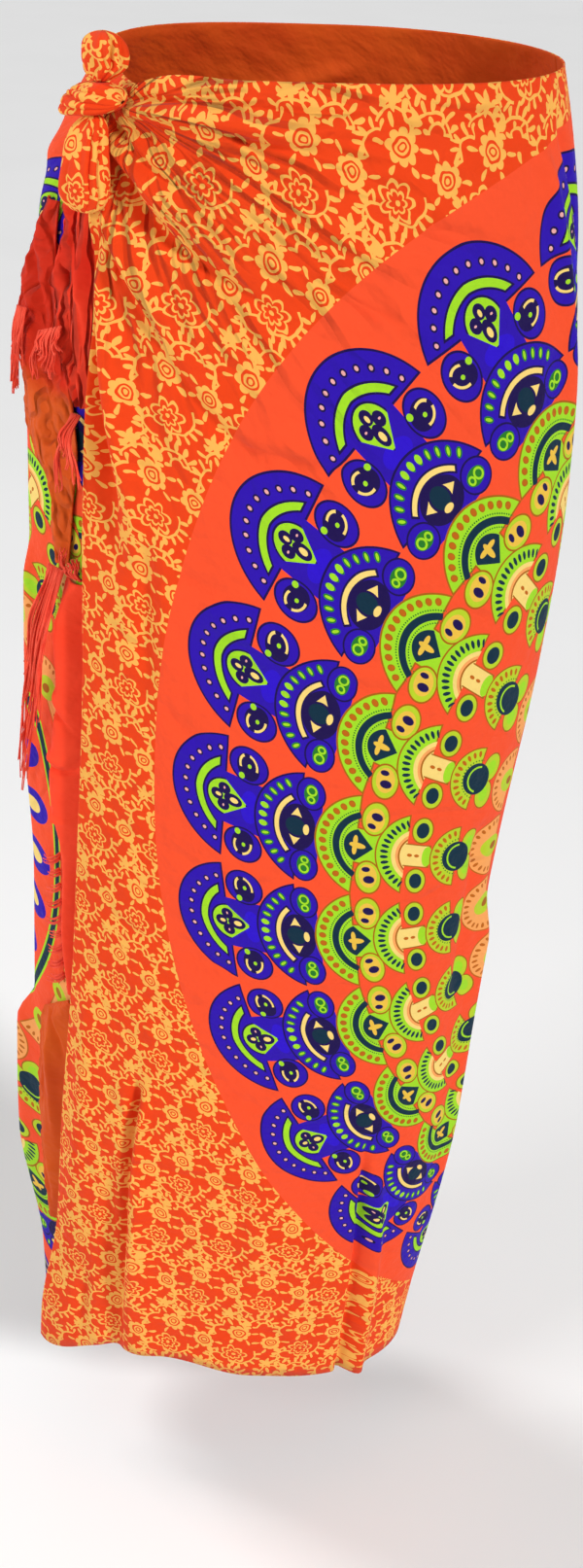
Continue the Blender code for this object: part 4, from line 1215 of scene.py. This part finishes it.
def tubes(name, paths, radius, material):
    """A thin closed tube along each path, tapering to a blunt tip. Its rings are square to the path."""
    count, steps = paths.shape[:2]
    ahead = np.gradient(paths, axis=1)
    ahead /= np.linalg.norm(ahead, axis=2, keepdims=True)
    side = np.cross(ahead, (0.3, 1.0, 0.2))
    side /= np.linalg.norm(side, axis=2, keepdims=True)
    rise = np.cross(ahead, side)
    angle = np.linspace(0, 2 * np.pi, STRAND_SIDES, endpoint=False)[None, None, :, None]
    slim = (radius * (1 - 0.4 * np.linspace(0, 1, steps)))[None, :, None, None]
    spoke = side[:, :, None] * np.cos(angle) + rise[:, :, None] * np.sin(angle)
    rings = paths[:, :, None, :] + slim * spoke
    index = np.arange(count * steps * STRAND_SIDES).reshape(count, steps, STRAND_SIDES)
    after = np.roll(index, -1, axis=2)
    sides = np.stack([index[:, :-1], index[:, 1:], after[:, 1:], after[:, :-1]], axis=-1)
    caps = index[:, 0].tolist() + index[:, -1, ::-1].tolist()
    mesh = bpy.data.meshes.new(name)
    mesh.from_pydata(rings.reshape(-1, 3).tolist(), [], sides.reshape(-1, 4).tolist() + caps)
    return add_piece(mesh, material)


yarn = plain_material("fringe_yarn", (0.90, 0.110, 0.060), (0.78, 0.050, 0.022), 12.0, None, False)
for fringe in FRINGES:
    strands = tubes(fringe.name + "_strands", fringe_paths(fringe), STRAND_RADIUS, yarn)
    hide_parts(fringe.name)
print("strands:", sum(fringe.tassels for fringe in FRINGES) * STRANDS_EACH)

# %% [markdown]
# ## Camera
# The camera looks from in front and above, as in the photograph. Its place and its slight roll were found
# by matching the round edges of the waist and the hem, and the lens gives the photograph's framing.

# %% Place the camera
CAMERA_AT = (-0.0102, -1.1634, 0.1766)
PITCH, ROLL = 0.522, 0.0318
FOCAL_PIXELS, IMAGE_HEIGHT = 1927.9, 1613
SENSOR = 36.0

def facing(at, axes):
    """The place and turn of an object at a point, from the directions of its own x, y and z."""
    turned = Matrix.Identity(4)
    for axis, direction in enumerate(axes):
        for row in range(3):
            turned[row][axis] = direction[row] / np.linalg.norm(direction)
    return Matrix.Translation(at) @ turned


forward = np.array([0, np.cos(PITCH), -np.sin(PITCH)])
level = np.array([1, 0, 0])
upright = np.cross(level, forward)
right_side = level * np.cos(ROLL) + upright * np.sin(ROLL)
up_side = upright * np.cos(ROLL) - level * np.sin(ROLL)
camera_data = bpy.data.cameras.new("camera")
camera_data.sensor_fit = "VERTICAL"
camera_data.sensor_height = SENSOR
camera_data.lens = FOCAL_PIXELS * SENSOR / IMAGE_HEIGHT
camera = bpy.data.objects.new("camera", camera_data)
collection.objects.link(camera)
camera.matrix_world = facing(CAMERA_AT, (right_side, up_side, -forward))
bpy.context.scene.camera = camera
print("lens", round(camera_data.lens, 2), "mm")

# %% [markdown]
# ## Studio
# Two suns of a soft edge shine across the cloth, so that its creases show, and one large square light fills
# the knot's side. The floor is pale, and the world is dim as a light and nearly white to the camera, so
# that the cloth stands before a plain pale ground. A single dome light would flatten the creases.

# %% Floor and lights
FLOOR_DROP, FLOOR_HALF = 1.10, 30.0
WORLD_LIGHT, WORLD_SEEN = 0.25, 0.87

corners = [(FLOOR_HALF * x, FLOOR_HALF * y, -FLOOR_DROP) for x, y in ((-1, -1), (1, -1), (1, 1), (-1, 1))]
floor_mesh = bpy.data.meshes.new("floor")
floor_mesh.from_pydata(corners, [], [(0, 1, 2, 3)])
pale_grey = plain_material("floor", (0.93, 0.93, 0.93), (0.91, 0.91, 0.91), 400.0, own_map=False, crumple=0)
floor_mesh.materials.append(pale_grey)
floor = bpy.data.objects.new("floor", floor_mesh)
collection.objects.link(floor)


def soft_light(name, at, aim, size, power, kind="AREA"):
    """A light at a point, turned to look at its aim: a square one of a size in metres, or an even sun whose
    size is the angle that it fills in the sky."""
    data = bpy.data.lights.new(name, kind)
    data.energy = power
    if kind == "SUN":
        data.angle = size
    else:
        data.size = size
    light = bpy.data.objects.new(name, data)
    collection.objects.link(light)
    look = np.array(aim, float) - np.array(at, float)
    side = np.cross(look, (0, 0, 1))
    light.matrix_world = facing(at, (side, np.cross(side, look), -look))


soft_light("key", (1.6, -1.5, 1.4), (0, 0, 0), 0.18, 2.25, "SUN")
soft_light("fill", (-1.9, -1.3, 0.5), (-0.1, 0, -0.4), 1.0, 26)
soft_light("back", (-1.7, 1.0, 1.7), (0, 0, 0), 0.3, 1.2, "SUN")
world = bpy.data.worlds.new("studio")
world.use_nodes = True
sky = world.node_tree.nodes["Background"]
sky.inputs["Color"].default_value = (1, 1, 1, 1)
seen = world.node_tree.nodes.new("ShaderNodeLightPath").outputs["Is Camera Ray"]
pale = Drawing(world.node_tree, "field").math("MULTIPLY_ADD", seen, WORLD_SEEN - WORLD_LIGHT, WORLD_LIGHT)
world.node_tree.links.new(pale, sky.inputs["Strength"])
bpy.context.scene.world = world
bpy.context.scene.view_settings.view_transform = "Standard"
print("two suns and one square light")
